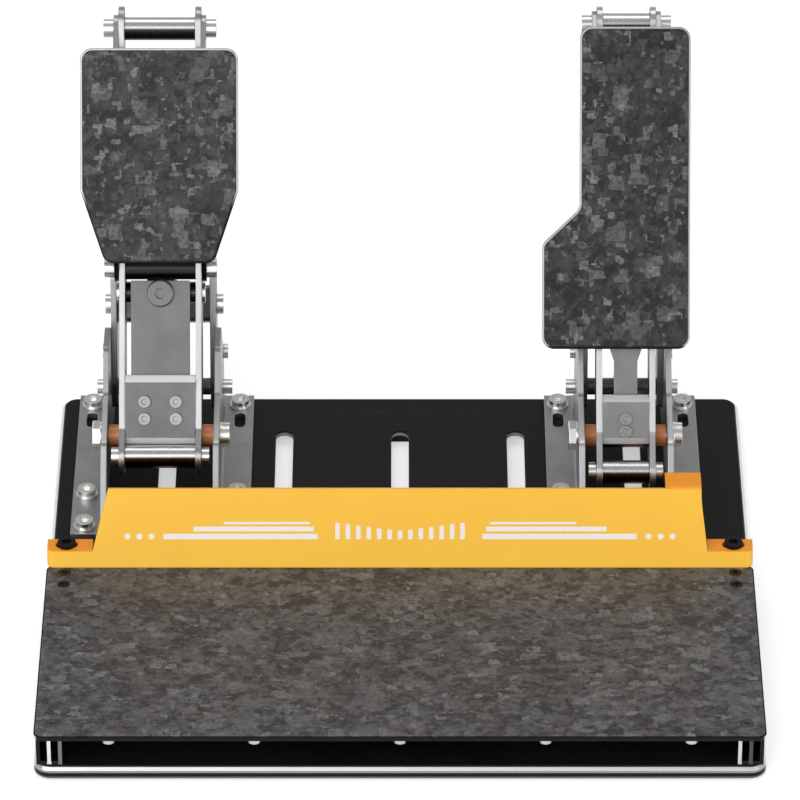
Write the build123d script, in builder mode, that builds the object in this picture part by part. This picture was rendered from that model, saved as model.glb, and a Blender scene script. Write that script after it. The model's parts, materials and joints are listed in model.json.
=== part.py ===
from build123d import *
import os
from math import atan2, ceil, cos, hypot, pi, radians, sin, sqrt, tan
from types import SimpleNamespace

# Two-pedal set for a driving game: a folded base tray, a raised heel plate with a toe stop,
# and a brake and a throttle pedal that each push a spring against a block in their bracket.
# X is to the driver's right, Y away from the driver, Z up, and the origin is the middle of
# the tray's footprint on the floor. Millimetres.

os.makedirs("parts", exist_ok=True)

# Fits and cuts
running_fit = 0.05
bolt_clearance = 0.2
seat_gap = 0.3
overrun = 2.0

# Base tray and its rubber feet
base_width = 354.0
base_depth = 320.0
base_top = 8.0
base_sheet = 3.5
base_corner = 8.0
base_edge_bevel = 2.0
base_foot_bevel = 0.7
base_lift = 1.0
mount_slot_width = 9.0
mount_slot_length = 80.0
mount_slot_side_inset = 57.0
mount_slot_rear_inset = 31.0
mount_slot_count = 5
bead_rear_inset = 14.0
bead_length = 124.0
bead_width = 1.6
bead_depth = 0.5
rubber_length = 34.0
rubber_width = 14.0
rubber_inset = 16.0
rubber_corner = 3.5

# Side rails, heel plate and the plate's patterned skin
rail_width = 12.5
rail_height = 16.0
rail_wall = 1.8
rail_side_inset = 1.5
rail_front_inset = 2.4
rail_rear_y = -5.0
heel_side_inset = 0.5
heel_rear_y = -17.5
heel_sheet = 2.0
heel_corner = 4.0
skin_thickness = 1.2
skin_border = 0.8
skin_edge_round = 0.5
heel_screw_r = 1.6
heel_screw_head_r = 2.9
heel_screw_side_inset = 4.3
heel_screw_rear_insets = (7.5, 17.5)
heel_screw_front_inset = 10.0
clinch_side_inset = 36.6
clinch_count = 5
clinch_front_inset = 4.6
clinch_head_r = 3.6
clinch_head_h = 2.8

# Toe stop: one bent sheet with an ear at each end
toe_sheet = 2.5
toe_lean = 25.0
toe_foot_y = -21.0
toe_side_inset = 0.75
toe_band_height = 8.2
toe_face_height = 40.1
toe_ear_width = 22.75
toe_face_left_slope = 8.0
toe_face_right_slope = 3.2
toe_tab_root = 6.0
toe_tab_depth = 14.0
toe_tab_width = 15.4
toe_ear_depth = 10.7
toe_bend_r = 1.5
toe_end_bend_r = 3.5
toe_slot_length = 11.0
toe_slot_width = 5.6
toe_screw_r = 2.5
toe_screw_head_r = 4.6
toe_screw_head_h = 1.8
toe_screw_inset = 3.6
toe_screw_share = 0.55

# Controller under the heel plate
case_width = 96.0
case_depth = 62.0
case_height = 13.0
case_wall = 2.0
case_front_inset = 42.0
case_corner = 4.0
case_bevel = 1.0
socket_width = 12.4
socket_height = 8.4
socket_depth = 11.0
board_sheet = 1.6
board_standoff = 2.0
board_gap = 2.0
board_post_inset = 6.0
board_chip = 12.0
board_part_length = 6.0
board_part_width = 4.0
board_part_spread_share = 0.5

# Both pedals: pivot and bracket. The bracket's places are behind and above the pivot.
pivot_rear_inset = 84.0
pivot_z = 41.0
rest_lean = 30.0
axle_r = 4.0
axle_head_r = 6.5
axle_head_h = 4.0
axle_nut_bevel = 0.5
washer_r = 6.9
washer_sheet = 1.0
bush_flange_r = 5.6
bush_sleeve_r = 5.2
bracket_sheet = 3.0
bracket_bend_r = 1.2
cheek_clear = 6.0
foot_reach = 15.5
foot_front = -45.0
foot_rear = 81.0
foot_bolt_offset = 8.5
foot_bolt_places = (-38.0, -10.0, 72.0)
foot_bolt_r = 2.5
foot_bolt_head_r = 4.6
foot_bolt_head_h = 3.2
foot_slot_place = 58.0
foot_slot_length = 13.0
foot_slot_width = 5.6
cheek_front_top = -20.0
cheek_nose = (-19.0, 8.0)
cheek_saddle = (14.0, 15.0)
cheek_step_front = (31.0, 33.0)
cheek_step_rear = (51.0, 33.0)
cheek_back = (71.0, 10.0)
cheek_heel_top = -11.0
cheek_corner = 5.0
riser_foot = (46.0, -16.0)
riser_front = (46.0, 0.0)
riser_top_front = (62.0, 58.5)
riser_top_rear = (84.0, 58.5)
riser_rear = (88.0, 25.0)
riser_heel = (74.0, -16.0)
riser_corner = 5.0
frame_bolt = (56.0, -7.4)
frame_bolt_r = 2.5
frame_bolt_head_r = 3.9
frame_bolt_head_h = 5.0
frame_sleeve_r = 4.4
riser_screw = (72.0, 4.0)
riser_screw_head_h = 2.6

# Both pedals: arm
arm_sheet = 3.0
arm_hub_r = 13.0
arm_tail_r = 9.0
arm_elbow_r = 12.0
arm_tip_r = 8.0
arm_tip_u = 210.8
rod_pin_u = 73.0
rod_pin_back = 5.0
rod_pin_r = 3.5
rod_pin_head_r = 5.4
rod_pin_head_h = 1.6
cross_bolt_r = 3.0
cross_bolt_head_r = 5.0
cross_bolt_head_h = 5.2
tail_bolt_head_h = 4.0
cross_sleeve_r = 6.0
pivot_sleeve_r = 6.2
web_sheet = 2.0
web_boss_h = 2.6
web_boss_bevel = 0.65
web_step_bottom_u = 38.4
web_step_top_u = 44.0
boss_recess_share = 0.77
block_back = 6.5
block_depth = 6.0
block_bevel = 3.4
block_screw_r = 2.0
block_screw_head_r = 3.1
block_screw_head_h = 1.7
block_screw_length = 4.2
tab_sheet = 2.5
tab_eye_r = 7.0
tab_root_r = 2.0

# Both pedals: pad
pad_back = 15.0
pad_sheet = 2.5
pad_face_sheet = 2.0
pad_border = 1.1
pad_corner = 6.4
pad_edge_bevel = 0.4

# Both pedals: rod, spring and end block
rod_r = 4.0
rod_rest_length = 46.0
rod_drop = 40.6
rod_bore_clearance = 0.6
rod_tail = 4.0
rod_bevel = 0.7
eye_r = 7.4
eye_width = 14.0
neck_r = 5.5
neck_reach = 8.2
seat_sheet = 2.4
seat_bevel = 0.5
block_thick = 11.0
block_tall = 19.0
block_round = 3.0
lock_nut_flats = 13.0
lock_nut_h = 5.0
swivel_screw_r = 3.0
swivel_screw_head_r = 5.4
swivel_screw_head_h = 3.6

# Sensor
magnet_thick = 4.6
magnet_tall = 13.0
magnet_back = 6.6
magnet_disc_r = 3.0
magnet_disc_h = 1.0
pod_width = 8.0
pod_ring_r = 7.6
pod_nose = (31.0, 0.5)
pod_nose_r = 6.4
pod_bevel = 0.9

# Hex recess of the screws, as shares of the head's radius and height
recess_share = 0.55
recess_depth_share = 0.6

# Coil springs: straight end, bend and pitch as shares of the wire's radius
wire_stub_share = 2.0
wire_bend_share = 2.4
wire_pitch_share = 4.1
straight_share = 1e-9

# How far each pedal's middle lies in from the side of the tray
brake_side_inset = 55.0
gas_side_inset = 62.0

brake = SimpleNamespace(
    name="brake",
    centre_x=brake_side_inset - base_width / 2,
    arm_outer=42.0,
    travel=9.0,
    tail_back=-11.0,
    tail_u=-10.0,
    pad_low_bolt_u=85.7,
    pad_high_bolt_u=207.5,
    web_bottom_width=30.0,
    web_top_width=30.0,
    web_bottom_u=24.0,
    boss_r=6.9,
    web_top_u=79.4,
    block_bottom_u=-3.8,
    block_top_u=31.4,
    block_screw_pitch_x=16.0,
    block_screw_pitch_u=8.8,
    block_screw_columns=2,
    block_screw_mid_u=13.7,
    spring_r=8.6,
    wire_r=1.5,
    seat_r=10.6,
)
gas = SimpleNamespace(
    name="gas",
    centre_x=base_width / 2 - gas_side_inset,
    arm_outer=30.0,
    travel=14.0,
    tail_back=-10.0,
    tail_u=-18.0,
    pad_low_bolt_u=104.0,
    pad_high_bolt_u=209.5,
    web_bottom_width=12.0,
    web_top_width=16.0,
    web_bottom_u=17.0,
    boss_r=5.4,
    web_top_u=97.7,
    block_bottom_u=-3.8,
    block_top_u=21.3,
    block_screw_pitch_x=0.0,
    block_screw_pitch_u=6.4,
    block_screw_columns=1,
    block_screw_mid_u=6.0,
    spring_r=7.4,
    wire_r=1.1,
    seat_r=9.2,
)

# Pad outlines in the pad's plane: (across, along the arm), from the arm's middle line
brake_pad_half_width = 40.1
brake_pad_foot_half_width = 27.6
brake_pad_top_u = 197.8
brake_pad_shoulder_u = 125.6
brake_pad_bottom_u = 88.7
gas_pad_right = 32.2
gas_pad_left = -24.0
gas_pad_foot_left = -43.0
gas_pad_top_u = 208.6
gas_pad_notch_top_u = 116.4
gas_pad_notch_bottom_u = 98.5
gas_pad_bottom_u = 45.2

brake.pad_outline = (
    (-brake_pad_half_width, brake_pad_top_u),
    (brake_pad_half_width, brake_pad_top_u),
    (brake_pad_half_width, brake_pad_shoulder_u),
    (brake_pad_foot_half_width, brake_pad_bottom_u),
    (-brake_pad_foot_half_width, brake_pad_bottom_u),
    (-brake_pad_half_width, brake_pad_shoulder_u),
)
gas.pad_outline = (
    (gas_pad_left, gas_pad_top_u),
    (gas_pad_right, gas_pad_top_u),
    (gas_pad_right, gas_pad_bottom_u),
    (gas_pad_foot_left, gas_pad_bottom_u),
    (gas_pad_foot_left, gas_pad_notch_bottom_u),
    (gas_pad_left, gas_pad_notch_top_u),
)

# Places and widths that follow from the tray, and heights that follow from the stack
base_front_y = -base_depth / 2
base_rear_y = base_depth / 2
pivot_y = base_rear_y - pivot_rear_inset
mount_slot_pitch = (base_width - mount_slot_side_inset * 2) / (mount_slot_count - 1)
heel_width = base_width - heel_side_inset * 2
toe_width = base_width - toe_side_inset * 2
floor_drop = pivot_z - base_top
rail_top = base_top + rail_height
heel_top = rail_top + heel_sheet + skin_thickness
skin_base = rail_top + heel_sheet


def save(piece, name):
    piece.part.label = name
    export_step(piece.part, "parts/" + name + ".step")


def side_plane(x, lean=0.0):
    """Plane with +X as its normal: its x runs to the rear, its y up, leaned back by lean."""
    angle = radians(lean)
    return Plane(
        origin=(x, pivot_y, pivot_z),
        x_dir=(0, cos(angle), -sin(angle)),
        z_dir=(1, 0, 0),
    )


def front_plane(pedal, forward=0.0):
    """Plane facing the driver on the arm: its x runs across, its y up along the arm."""
    angle = radians(rest_lean)
    facing = Plane(
        origin=(pedal.centre_x, pivot_y, pivot_z),
        x_dir=(1, 0, 0),
        z_dir=(0, -cos(angle), sin(angle)),
    )
    return facing.offset(forward)


def rod_plane(pedal, along=0.0):
    """Plane square to the rod, along its way from the pin in the arm."""
    lean = radians(rest_lean)
    drop = radians(rod_drop)
    pin_y = pivot_y + rod_pin_u * sin(lean) + rod_pin_back * cos(lean)
    pin_z = pivot_z + rod_pin_u * cos(lean) - rod_pin_back * sin(lean)
    square = Plane(
        origin=(pedal.centre_x, pin_y, pin_z),
        x_dir=(1, 0, 0),
        z_dir=(0, cos(drop), -sin(drop)),
    )
    return square.offset(along)


def disc_hull(*discs):
    """Convex outline round discs given as (x, y, radius), in the sketch that is open."""
    rims = []
    for x, y, radius in discs:
        with Locations((x, y)):
            rims.extend(Circle(radius, mode=Mode.PRIVATE).edges())
    make_hull(rims)


def pillar(plane, x, y, radius, length, mode=Mode.ADD):
    """Round bar from a plane along its normal."""
    with BuildSketch(plane) as profile:
        with Locations((x, y)):
            Circle(radius)
    extrude(profile.sketch, amount=length, mode=mode)


def tube(plane, x, y, radius, bore, length):
    with BuildSketch(plane) as profile:
        with Locations((x, y)):
            Circle(radius)
            Circle(bore, mode=Mode.SUBTRACT)
    extrude(profile.sketch, amount=length)


def hex_recess(plane, x, y, head_r, head_h):
    """Hex socket sunk into a head whose top face is the plane."""
    with BuildSketch(plane) as profile:
        with Locations((x, y)):
            RegularPolygon(head_r * recess_share, 6)
    extrude(profile.sketch, amount=-head_h * recess_depth_share, mode=Mode.SUBTRACT)


def screw(face, x, y, shank_r, shank_length, head_r, head_h):
    """Socket screw: its head stands on the face and its shank goes down through it."""
    pillar(face, x, y, shank_r, -shank_length)
    pillar(face, x, y, head_r, head_h)
    hex_recess(face.offset(head_h), x, y, head_r, head_h)


def nut(face, x, y, flats, height):
    with BuildSketch(face) as profile:
        with Locations((x, y)):
            RegularPolygon(flats / 2, 6, major_radius=False)
    extrude(profile.sketch, amount=height)


def cross_bolt(pedal, plane_at, x, y, reach, shank_r, head_r, head_h):
    """Screw from the right and its cap nut on the left, through a width of twice reach."""
    screw(plane_at(pedal.centre_x + reach), x, y, shank_r, reach * 2, head_r, head_h)
    left = plane_at(pedal.centre_x - reach)
    pillar(left, x, y, head_r, -head_h)


# Base tray: a pan with its rim folded down all round
slot_mid_y = base_rear_y - mount_slot_rear_inset - mount_slot_length / 2

with BuildPart() as base_tray:
    with BuildSketch(Plane.XY.offset(base_lift)):
        RectangleRounded(base_width, base_depth, base_corner)
    extrude(amount=base_top - base_lift)
    chamfer(base_tray.faces().sort_by(Axis.Z)[-1].edges(), base_edge_bevel)
    chamfer(base_tray.faces().sort_by(Axis.Z)[0].edges(), base_foot_bevel)
    with BuildSketch(Plane.XY.offset(base_lift)):
        RectangleRounded(
            base_width - base_sheet * 2,
            base_depth - base_sheet * 2,
            base_corner - base_sheet,
        )
    extrude(amount=base_top - base_sheet - base_lift, mode=Mode.SUBTRACT)
    with BuildSketch(Plane.XY.offset(base_top)):
        with Locations((0, slot_mid_y)):
            with GridLocations(mount_slot_pitch, base_depth, mount_slot_count, 1):
                SlotOverall(mount_slot_length, mount_slot_width, rotation=90)
    extrude(amount=-base_top, mode=Mode.SUBTRACT)
    with BuildSketch(Plane.XY.offset(base_top)):
        with Locations((0, base_rear_y - bead_rear_inset)):
            SlotOverall(bead_length, bead_width)
    extrude(amount=-bead_depth, mode=Mode.SUBTRACT)
    with BuildSketch(Plane.XY.offset(base_top)):
        for pedal in (brake, gas):
            bolt_side = pedal.arm_outer / 2 + cheek_clear + bracket_sheet + foot_bolt_offset
            for place in foot_bolt_places:
                with Locations(
                    (pedal.centre_x - bolt_side, pivot_y + place),
                    (pedal.centre_x + bolt_side, pivot_y + place),
                ):
                    Circle(foot_bolt_r + bolt_clearance)
    extrude(amount=-base_top, mode=Mode.SUBTRACT)
save(base_tray, "base_tray")

with BuildPart() as rubber_feet:
    with BuildSketch(Plane.XY):
        with GridLocations(
            base_width / 2 - rubber_length / 2 - rubber_inset,
            base_depth - rubber_width - rubber_inset * 2,
            3,
            2,
        ):
            RectangleRounded(rubber_length, rubber_width, rubber_corner)
        RectangleRounded(rubber_length, rubber_width, rubber_corner)
    extrude(amount=base_top - base_sheet)
save(rubber_feet, "rubber_feet")

# Side rails: a tube with a middle web, and a post at the rear that carries the toe stop's ear
toe_up = radians(toe_lean)
ear_top = heel_top + toe_band_height * cos(toe_up)
ear_front_y = toe_foot_y + toe_band_height * sin(toe_up)
ear_screw_y = ear_front_y + toe_ear_depth * toe_screw_share
ear_bottom = ear_top - toe_sheet
band_back_y = toe_foot_y + (ear_bottom - heel_top) * tan(toe_up) + toe_sheet / cos(toe_up)
post_front_y = band_back_y + seat_gap
rail_front_y = base_front_y + rail_front_inset
rail_mid_x = base_width / 2 - rail_side_inset - rail_width / 2
rail_inner_x = rail_mid_x - rail_width / 2
heel_screw_side = rail_inner_x + heel_screw_side_inset
toe_screw_side = rail_inner_x + toe_screw_inset
post_outer_x = toe_width / 2 - toe_sheet - seat_gap
heel_screw_ys = [heel_rear_y - inset for inset in heel_screw_rear_insets]
heel_screw_ys.append(base_front_y + heel_screw_front_inset)


def make_rail(side):
    mid_x = side * rail_mid_x
    cell_width = (rail_width - rail_wall * 3) / 2
    with BuildPart() as rail:
        with BuildSketch(Plane.XZ.offset(-rail_rear_y)):
            with Locations((mid_x, base_top + rail_height / 2)):
                Rectangle(rail_width, rail_height)
                with GridLocations(cell_width + rail_wall, rail_height, 2, 1):
                    Rectangle(cell_width, rail_height - rail_wall * 2, mode=Mode.SUBTRACT)
        extrude(amount=rail_rear_y - rail_front_y)
        with BuildSketch(Plane.XY.offset(rail_top)):
            post_mid = ((rail_inner_x + post_outer_x) / 2 * side, (rail_rear_y + post_front_y) / 2)
            with Locations(post_mid):
                Rectangle(post_outer_x - rail_inner_x, rail_rear_y - post_front_y)
        extrude(amount=ear_bottom - rail_top)
        with BuildSketch(Plane.XY.offset(rail_top)):
            for screw_y in heel_screw_ys:
                with Locations((side * heel_screw_side, screw_y)):
                    Circle(heel_screw_r + running_fit)
        extrude(amount=-rail_wall - overrun, mode=Mode.SUBTRACT)
        with BuildSketch(Plane.XY.offset(ear_top)):
            with Locations((side * toe_screw_side, ear_screw_y)):
                Circle(toe_screw_r + running_fit)
        extrude(amount=base_top - ear_top + rail_wall * 2, mode=Mode.SUBTRACT)
    return rail


for side, side_name in ((-1, "left"), (1, "right")):
    save(make_rail(side), "side_rail_" + side_name)

# Heel plate, skin and screws
heel_depth = heel_rear_y - base_front_y
heel_mid_y = (heel_rear_y + base_front_y) / 2
clinch_y = base_front_y + clinch_front_inset
clinch_pitch = (base_width - clinch_side_inset * 2) / (clinch_count - 1)


def heel_screw_places():
    return [
        (side * heel_screw_side, screw_y)
        for side in (-1, 1)
        for screw_y in heel_screw_ys
    ]


with BuildPart() as heel_plate:
    with BuildSketch(Plane.XY.offset(rail_top)):
        with Locations((0, heel_mid_y)):
            RectangleRounded(heel_width, heel_depth, heel_corner)
        with Locations(*heel_screw_places()):
            Circle(heel_screw_r + bolt_clearance, mode=Mode.SUBTRACT)
        with Locations((0, clinch_y)):
            with GridLocations(clinch_pitch, heel_depth, clinch_count, 1):
                Circle(heel_screw_r + bolt_clearance, mode=Mode.SUBTRACT)
    extrude(amount=heel_sheet)
save(heel_plate, "heel_plate")

with BuildPart() as heel_skin:
    with BuildSketch(Plane.XY.offset(skin_base)):
        with Locations((0, heel_mid_y)):
            RectangleRounded(
                heel_width - skin_border * 2,
                heel_depth - skin_border * 2,
                heel_corner - skin_border,
            )
    extrude(amount=skin_thickness)
    fillet(heel_skin.faces().sort_by(Axis.Z)[-1].edges(), skin_edge_round)
    with BuildSketch(Plane.XY.offset(heel_top)):
        with Locations(*heel_screw_places()):
            Circle(heel_screw_head_r + bolt_clearance)
    extrude(amount=-skin_thickness, mode=Mode.SUBTRACT)
save(heel_skin, "heel_skin")

with BuildPart() as heel_screws:
    for x, y in heel_screw_places():
        face = Plane.XY.offset(skin_base)
        screw(face, x, y, heel_screw_r, heel_sheet + rail_wall, heel_screw_head_r, skin_thickness)
    for index in range(clinch_count):
        x = (index - (clinch_count - 1) / 2) * clinch_pitch
        face = Plane.XY.offset(rail_top).rotated((180, 0, 0))
        screw(face, x, -clinch_y, heel_screw_r, heel_sheet, clinch_head_r, clinch_head_h)
save(heel_screws, "heel_screws")

# Toe stop: a leaning face on a full-width band, ears and returned ends, and a bent tab at the top
toe_plane = Plane(
    origin=(0, toe_foot_y, heel_top),
    x_dir=(1, 0, 0),
    z_dir=(0, -cos(toe_up), sin(toe_up)),
)
face_top_y = toe_foot_y + toe_face_height * sin(toe_up)
face_top_z = heel_top + toe_face_height * cos(toe_up)
ear_mid_x = (toe_width - toe_ear_width) / 2
face_foot_x = toe_width / 2 - toe_ear_width
face_left_x = toe_face_left_slope - face_foot_x
face_right_x = face_foot_x - toe_face_right_slope
tab_left_x = face_right_x - toe_tab_width
tab_root = toe_face_height - toe_tab_root
tab_root_y = toe_foot_y + tab_root * sin(toe_up)
tab_root_z = heel_top + tab_root * cos(toe_up)
tab_inner_y = face_top_y + toe_sheet * (cos(toe_up) - (1 - sin(toe_up)) * tan(toe_up))
tab_plane = Plane(origin=(tab_left_x, 0, 0), x_dir=(0, 1, 0), z_dir=(1, 0, 0))

with BuildPart() as toe_stop:
    with BuildSketch(toe_plane) as face_outline:
        with BuildLine():
            Polyline(
                (-toe_width / 2, 0),
                (toe_width / 2, 0),
                (toe_width / 2, toe_band_height),
                (face_foot_x, toe_band_height),
                (face_right_x, tab_root),
                (tab_left_x, tab_root),
                (tab_left_x, toe_face_height),
                (face_left_x, toe_face_height),
                (-face_foot_x, toe_band_height),
                (-toe_width / 2, toe_band_height),
                close=True,
            )
        make_face()
    extrude(amount=-toe_sheet)
    with BuildSketch(Plane.XY.offset(heel_top)):
        Rectangle(toe_width + overrun * 2, base_depth)
    extrude(amount=-toe_sheet * 2, mode=Mode.SUBTRACT)
    with BuildSketch(tab_plane) as tab_profile:
        with BuildLine():
            Polyline(
                (tab_root_y, tab_root_z),
                (face_top_y, face_top_z),
                (face_top_y + toe_tab_depth, face_top_z),
                (face_top_y + toe_tab_depth, face_top_z - toe_sheet),
                (tab_inner_y, face_top_z - toe_sheet),
                (tab_root_y + toe_sheet * cos(toe_up), tab_root_z - toe_sheet * sin(toe_up)),
                close=True,
            )
        make_face()
        outer_bend = tab_profile.vertices().sort_by_distance((face_top_y, face_top_z))[0]
        fillet(outer_bend, toe_bend_r + toe_sheet)
        inner_bend = tab_profile.vertices().sort_by_distance((tab_inner_y, face_top_z - toe_sheet))[0]
        fillet(inner_bend, toe_bend_r)
    extrude(tab_profile.sketch, amount=toe_tab_width)
    with BuildSketch(Plane.XY.offset(ear_top)):
        for side in (-1, 1):
            with Locations((side * ear_mid_x, ear_front_y + toe_ear_depth / 2)):
                Rectangle(toe_ear_width, toe_ear_depth)
            with Locations((side * toe_screw_side, ear_screw_y)):
                SlotOverall(toe_slot_length, toe_slot_width, mode=Mode.SUBTRACT)
    extrude(amount=-toe_sheet)
    return_depth = toe_ear_depth - toe_sheet / 2
    return_mid_x = (toe_width - toe_sheet) / 2
    return_mid_y = ear_front_y + toe_ear_depth - return_depth / 2
    with BuildSketch(Plane.XY.offset(ear_top - toe_sheet / 2)):
        with Locations((-return_mid_x, return_mid_y), (return_mid_x, return_mid_y)):
            Rectangle(toe_sheet, return_depth)
    extrude(amount=heel_top - ear_top + toe_sheet / 2)
    band_ends = toe_stop.edges().filter_by(Axis((0, 0, 0), toe_plane.y_dir))
    fillet(band_ends.group_by(Axis.Y)[0], toe_end_bend_r)
save(toe_stop, "toe_stop")

with BuildPart() as toe_stop_screws:
    for side in (-1, 1):
        screw(
            Plane.XY.offset(ear_top),
            side * toe_screw_side,
            ear_screw_y,
            toe_screw_r,
            toe_sheet + rail_wall + rail_height / 2,
            toe_screw_head_r,
            toe_screw_head_h,
        )
save(toe_stop_screws, "toe_stop_screws")

# Controller: a box on the tray under the heel plate, its socket facing the rear
case_front_y = base_front_y + case_front_inset
case_mid_y = case_front_y + case_depth / 2
case_rear_y = case_front_y + case_depth
socket_mid_z = base_top + board_standoff + board_sheet + socket_height / 2
board_mid_y = case_mid_y - (socket_depth + case_wall) / 2
board_width = case_width - (case_wall + board_gap) * 2
board_depth = case_depth - socket_depth - case_wall * 3 - board_gap * 2

with BuildPart() as controller_case:
    with BuildSketch(Plane.XY.offset(base_top)):
        with Locations((0, case_mid_y)):
            RectangleRounded(case_width, case_depth, case_corner)
    extrude(amount=case_height)
    chamfer(controller_case.faces().sort_by(Axis.Z)[-1].edges(), case_bevel)
    with BuildSketch(Plane.XY.offset(base_top)):
        with Locations((0, board_mid_y)):
            Rectangle(board_width + board_gap * 2, board_depth + board_gap * 2)
    extrude(amount=case_height - case_wall, mode=Mode.SUBTRACT)
    with BuildSketch(Plane.XZ.offset(-case_rear_y)):
        with Locations((0, socket_mid_z)):
            Rectangle(socket_width, socket_height)
    extrude(amount=socket_depth, mode=Mode.SUBTRACT)
save(controller_case, "controller_case")

with BuildPart() as controller_board:
    with BuildSketch(Plane.XY.offset(base_top)):
        with Locations((0, board_mid_y)):
            post_pitch_x = board_width - board_post_inset * 2
            with GridLocations(post_pitch_x, board_depth - board_post_inset * 2, 2, 2):
                Circle(case_wall)
    extrude(amount=board_standoff)
    with BuildSketch(Plane.XY.offset(base_top + board_standoff)):
        with Locations((0, board_mid_y)):
            Rectangle(board_width, board_depth)
    extrude(amount=board_sheet)
    with BuildSketch(Plane.XY.offset(base_top + board_standoff + board_sheet)):
        with Locations((0, board_mid_y)):
            Rectangle(board_chip, board_chip)
            part_pitch_x = board_width * board_part_spread_share
            part_pitch_y = board_depth * board_part_spread_share
            with GridLocations(part_pitch_x, part_pitch_y, 2, 2):
                Rectangle(board_part_length, board_part_width)
    extrude(amount=board_sheet)
save(controller_board, "controller_board")


def make_cheek(pedal, side):
    """One bracket cheek with its foot folded outwards."""
    inner = pedal.centre_x + side * (pedal.arm_outer / 2 + cheek_clear)
    outer = inner + side * bracket_sheet
    foot_edge = outer + side * foot_reach
    foot_top = base_top + bracket_sheet
    top_z = pivot_z + cheek_step_front[1]
    bolt_x = outer + side * foot_bolt_offset
    with BuildPart() as cheek:
        with BuildSketch(Plane.XZ.offset(-pivot_y - foot_rear)) as section:
            with BuildLine():
                Polyline(
                    (inner, base_top),
                    (foot_edge, base_top),
                    (foot_edge, foot_top),
                    (outer, foot_top),
                    (outer, top_z),
                    (inner, top_z),
                    close=True,
                )
            make_face()
            bend_in = section.vertices().sort_by_distance((outer, foot_top))[0]
            fillet(bend_in, bracket_bend_r)
            bend_out = section.vertices().sort_by_distance((inner, base_top))[0]
            fillet(bend_out, bracket_bend_r + bracket_sheet)
        extrude(amount=foot_rear - foot_front)
        with BuildSketch(side_plane(min(inner, foot_edge) - overrun)) as outline:
            with BuildLine():
                Polyline(
                    (foot_front, -floor_drop),
                    (foot_front, cheek_front_top),
                    cheek_nose,
                    cheek_saddle,
                    cheek_step_front,
                    cheek_step_rear,
                    cheek_back,
                    (foot_rear, cheek_heel_top),
                    (foot_rear, -floor_drop),
                    close=True,
                )
            make_face()
            rounded = outline.vertices().filter_by(lambda v: v.Y > bracket_sheet - floor_drop)
            fillet(rounded, cheek_corner)
            Circle(axle_r + running_fit, mode=Mode.SUBTRACT)
            with Locations(frame_bolt, riser_screw):
                Circle(frame_bolt_r + bolt_clearance, mode=Mode.SUBTRACT)
        extrude(amount=abs(foot_edge - inner) + overrun * 2, mode=Mode.INTERSECT)
        with BuildSketch(Plane.XY.offset(foot_top)):
            for place in foot_bolt_places:
                with Locations((bolt_x, pivot_y + place)):
                    Circle(foot_bolt_r + bolt_clearance)
            with Locations((bolt_x, pivot_y + foot_slot_place)):
                SlotOverall(foot_slot_length, foot_slot_width, rotation=90)
        extrude(amount=-bracket_sheet * 2, mode=Mode.SUBTRACT)
    return cheek


def rod_end_point(pedal):
    """Centre of the end block's bore, behind and above the pivot."""
    point = rod_plane(pedal, rod_rest_length).origin
    return point.Y - pivot_y, point.Z - pivot_z


def make_risers(pedal):
    """The two inner plates that carry the end block, bolted inside the cheeks."""
    inner = pedal.arm_outer / 2 + cheek_clear - bracket_sheet
    with BuildPart() as risers:
        for start in (pedal.centre_x - inner - bracket_sheet, pedal.centre_x + inner):
            with BuildSketch(side_plane(start)) as outline:
                with BuildLine():
                    Polyline(
                        riser_foot,
                        riser_front,
                        riser_top_front,
                        riser_top_rear,
                        riser_rear,
                        riser_heel,
                        close=True,
                    )
                make_face()
                fillet(outline.vertices(), riser_corner)
                with Locations(frame_bolt, riser_screw):
                    Circle(frame_bolt_r + bolt_clearance, mode=Mode.SUBTRACT)
                with Locations(rod_end_point(pedal)):
                    Circle(swivel_screw_r + bolt_clearance, mode=Mode.SUBTRACT)
            extrude(outline.sketch, amount=bracket_sheet)
    return risers


def make_foot_bolts(pedal):
    foot_top = base_top + bracket_sheet
    bolt_side = pedal.arm_outer / 2 + cheek_clear + bracket_sheet + foot_bolt_offset
    with BuildPart() as bolts:
        for side in (-1, 1):
            for place in foot_bolt_places:
                x = pedal.centre_x + side * bolt_side
                y = pivot_y + place
                face = Plane.XY.offset(foot_top)
                pillar(face, x, y, foot_bolt_head_r + washer_sheet, washer_sheet)
                screw(
                    face.offset(washer_sheet),
                    x,
                    y,
                    foot_bolt_r,
                    washer_sheet + bracket_sheet + base_sheet,
                    foot_bolt_head_r,
                    foot_bolt_head_h,
                )
    return bolts


def make_pivot_axle(pedal):
    """Axle with its head on the right and its nut on the left, each on a washer."""
    reach = pedal.arm_outer / 2 + cheek_clear + bracket_sheet
    right = side_plane(pedal.centre_x + reach)
    left = side_plane(pedal.centre_x - reach).rotated((0, 180, 0))
    with BuildPart() as axle:
        pillar(right, 0, 0, washer_r, washer_sheet)
        screw(
            right.offset(washer_sheet),
            0,
            0,
            axle_r,
            washer_sheet + reach * 2,
            axle_head_r,
            axle_head_h,
        )
        pillar(left, 0, 0, washer_r, washer_sheet)
        nut(left.offset(washer_sheet), 0, 0, axle_head_r * 2, axle_head_h)
        chamfer_edges = axle.faces().sort_by(Axis.X)[0].edges()
        chamfer(chamfer_edges, axle_nut_bevel)
    return axle


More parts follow.
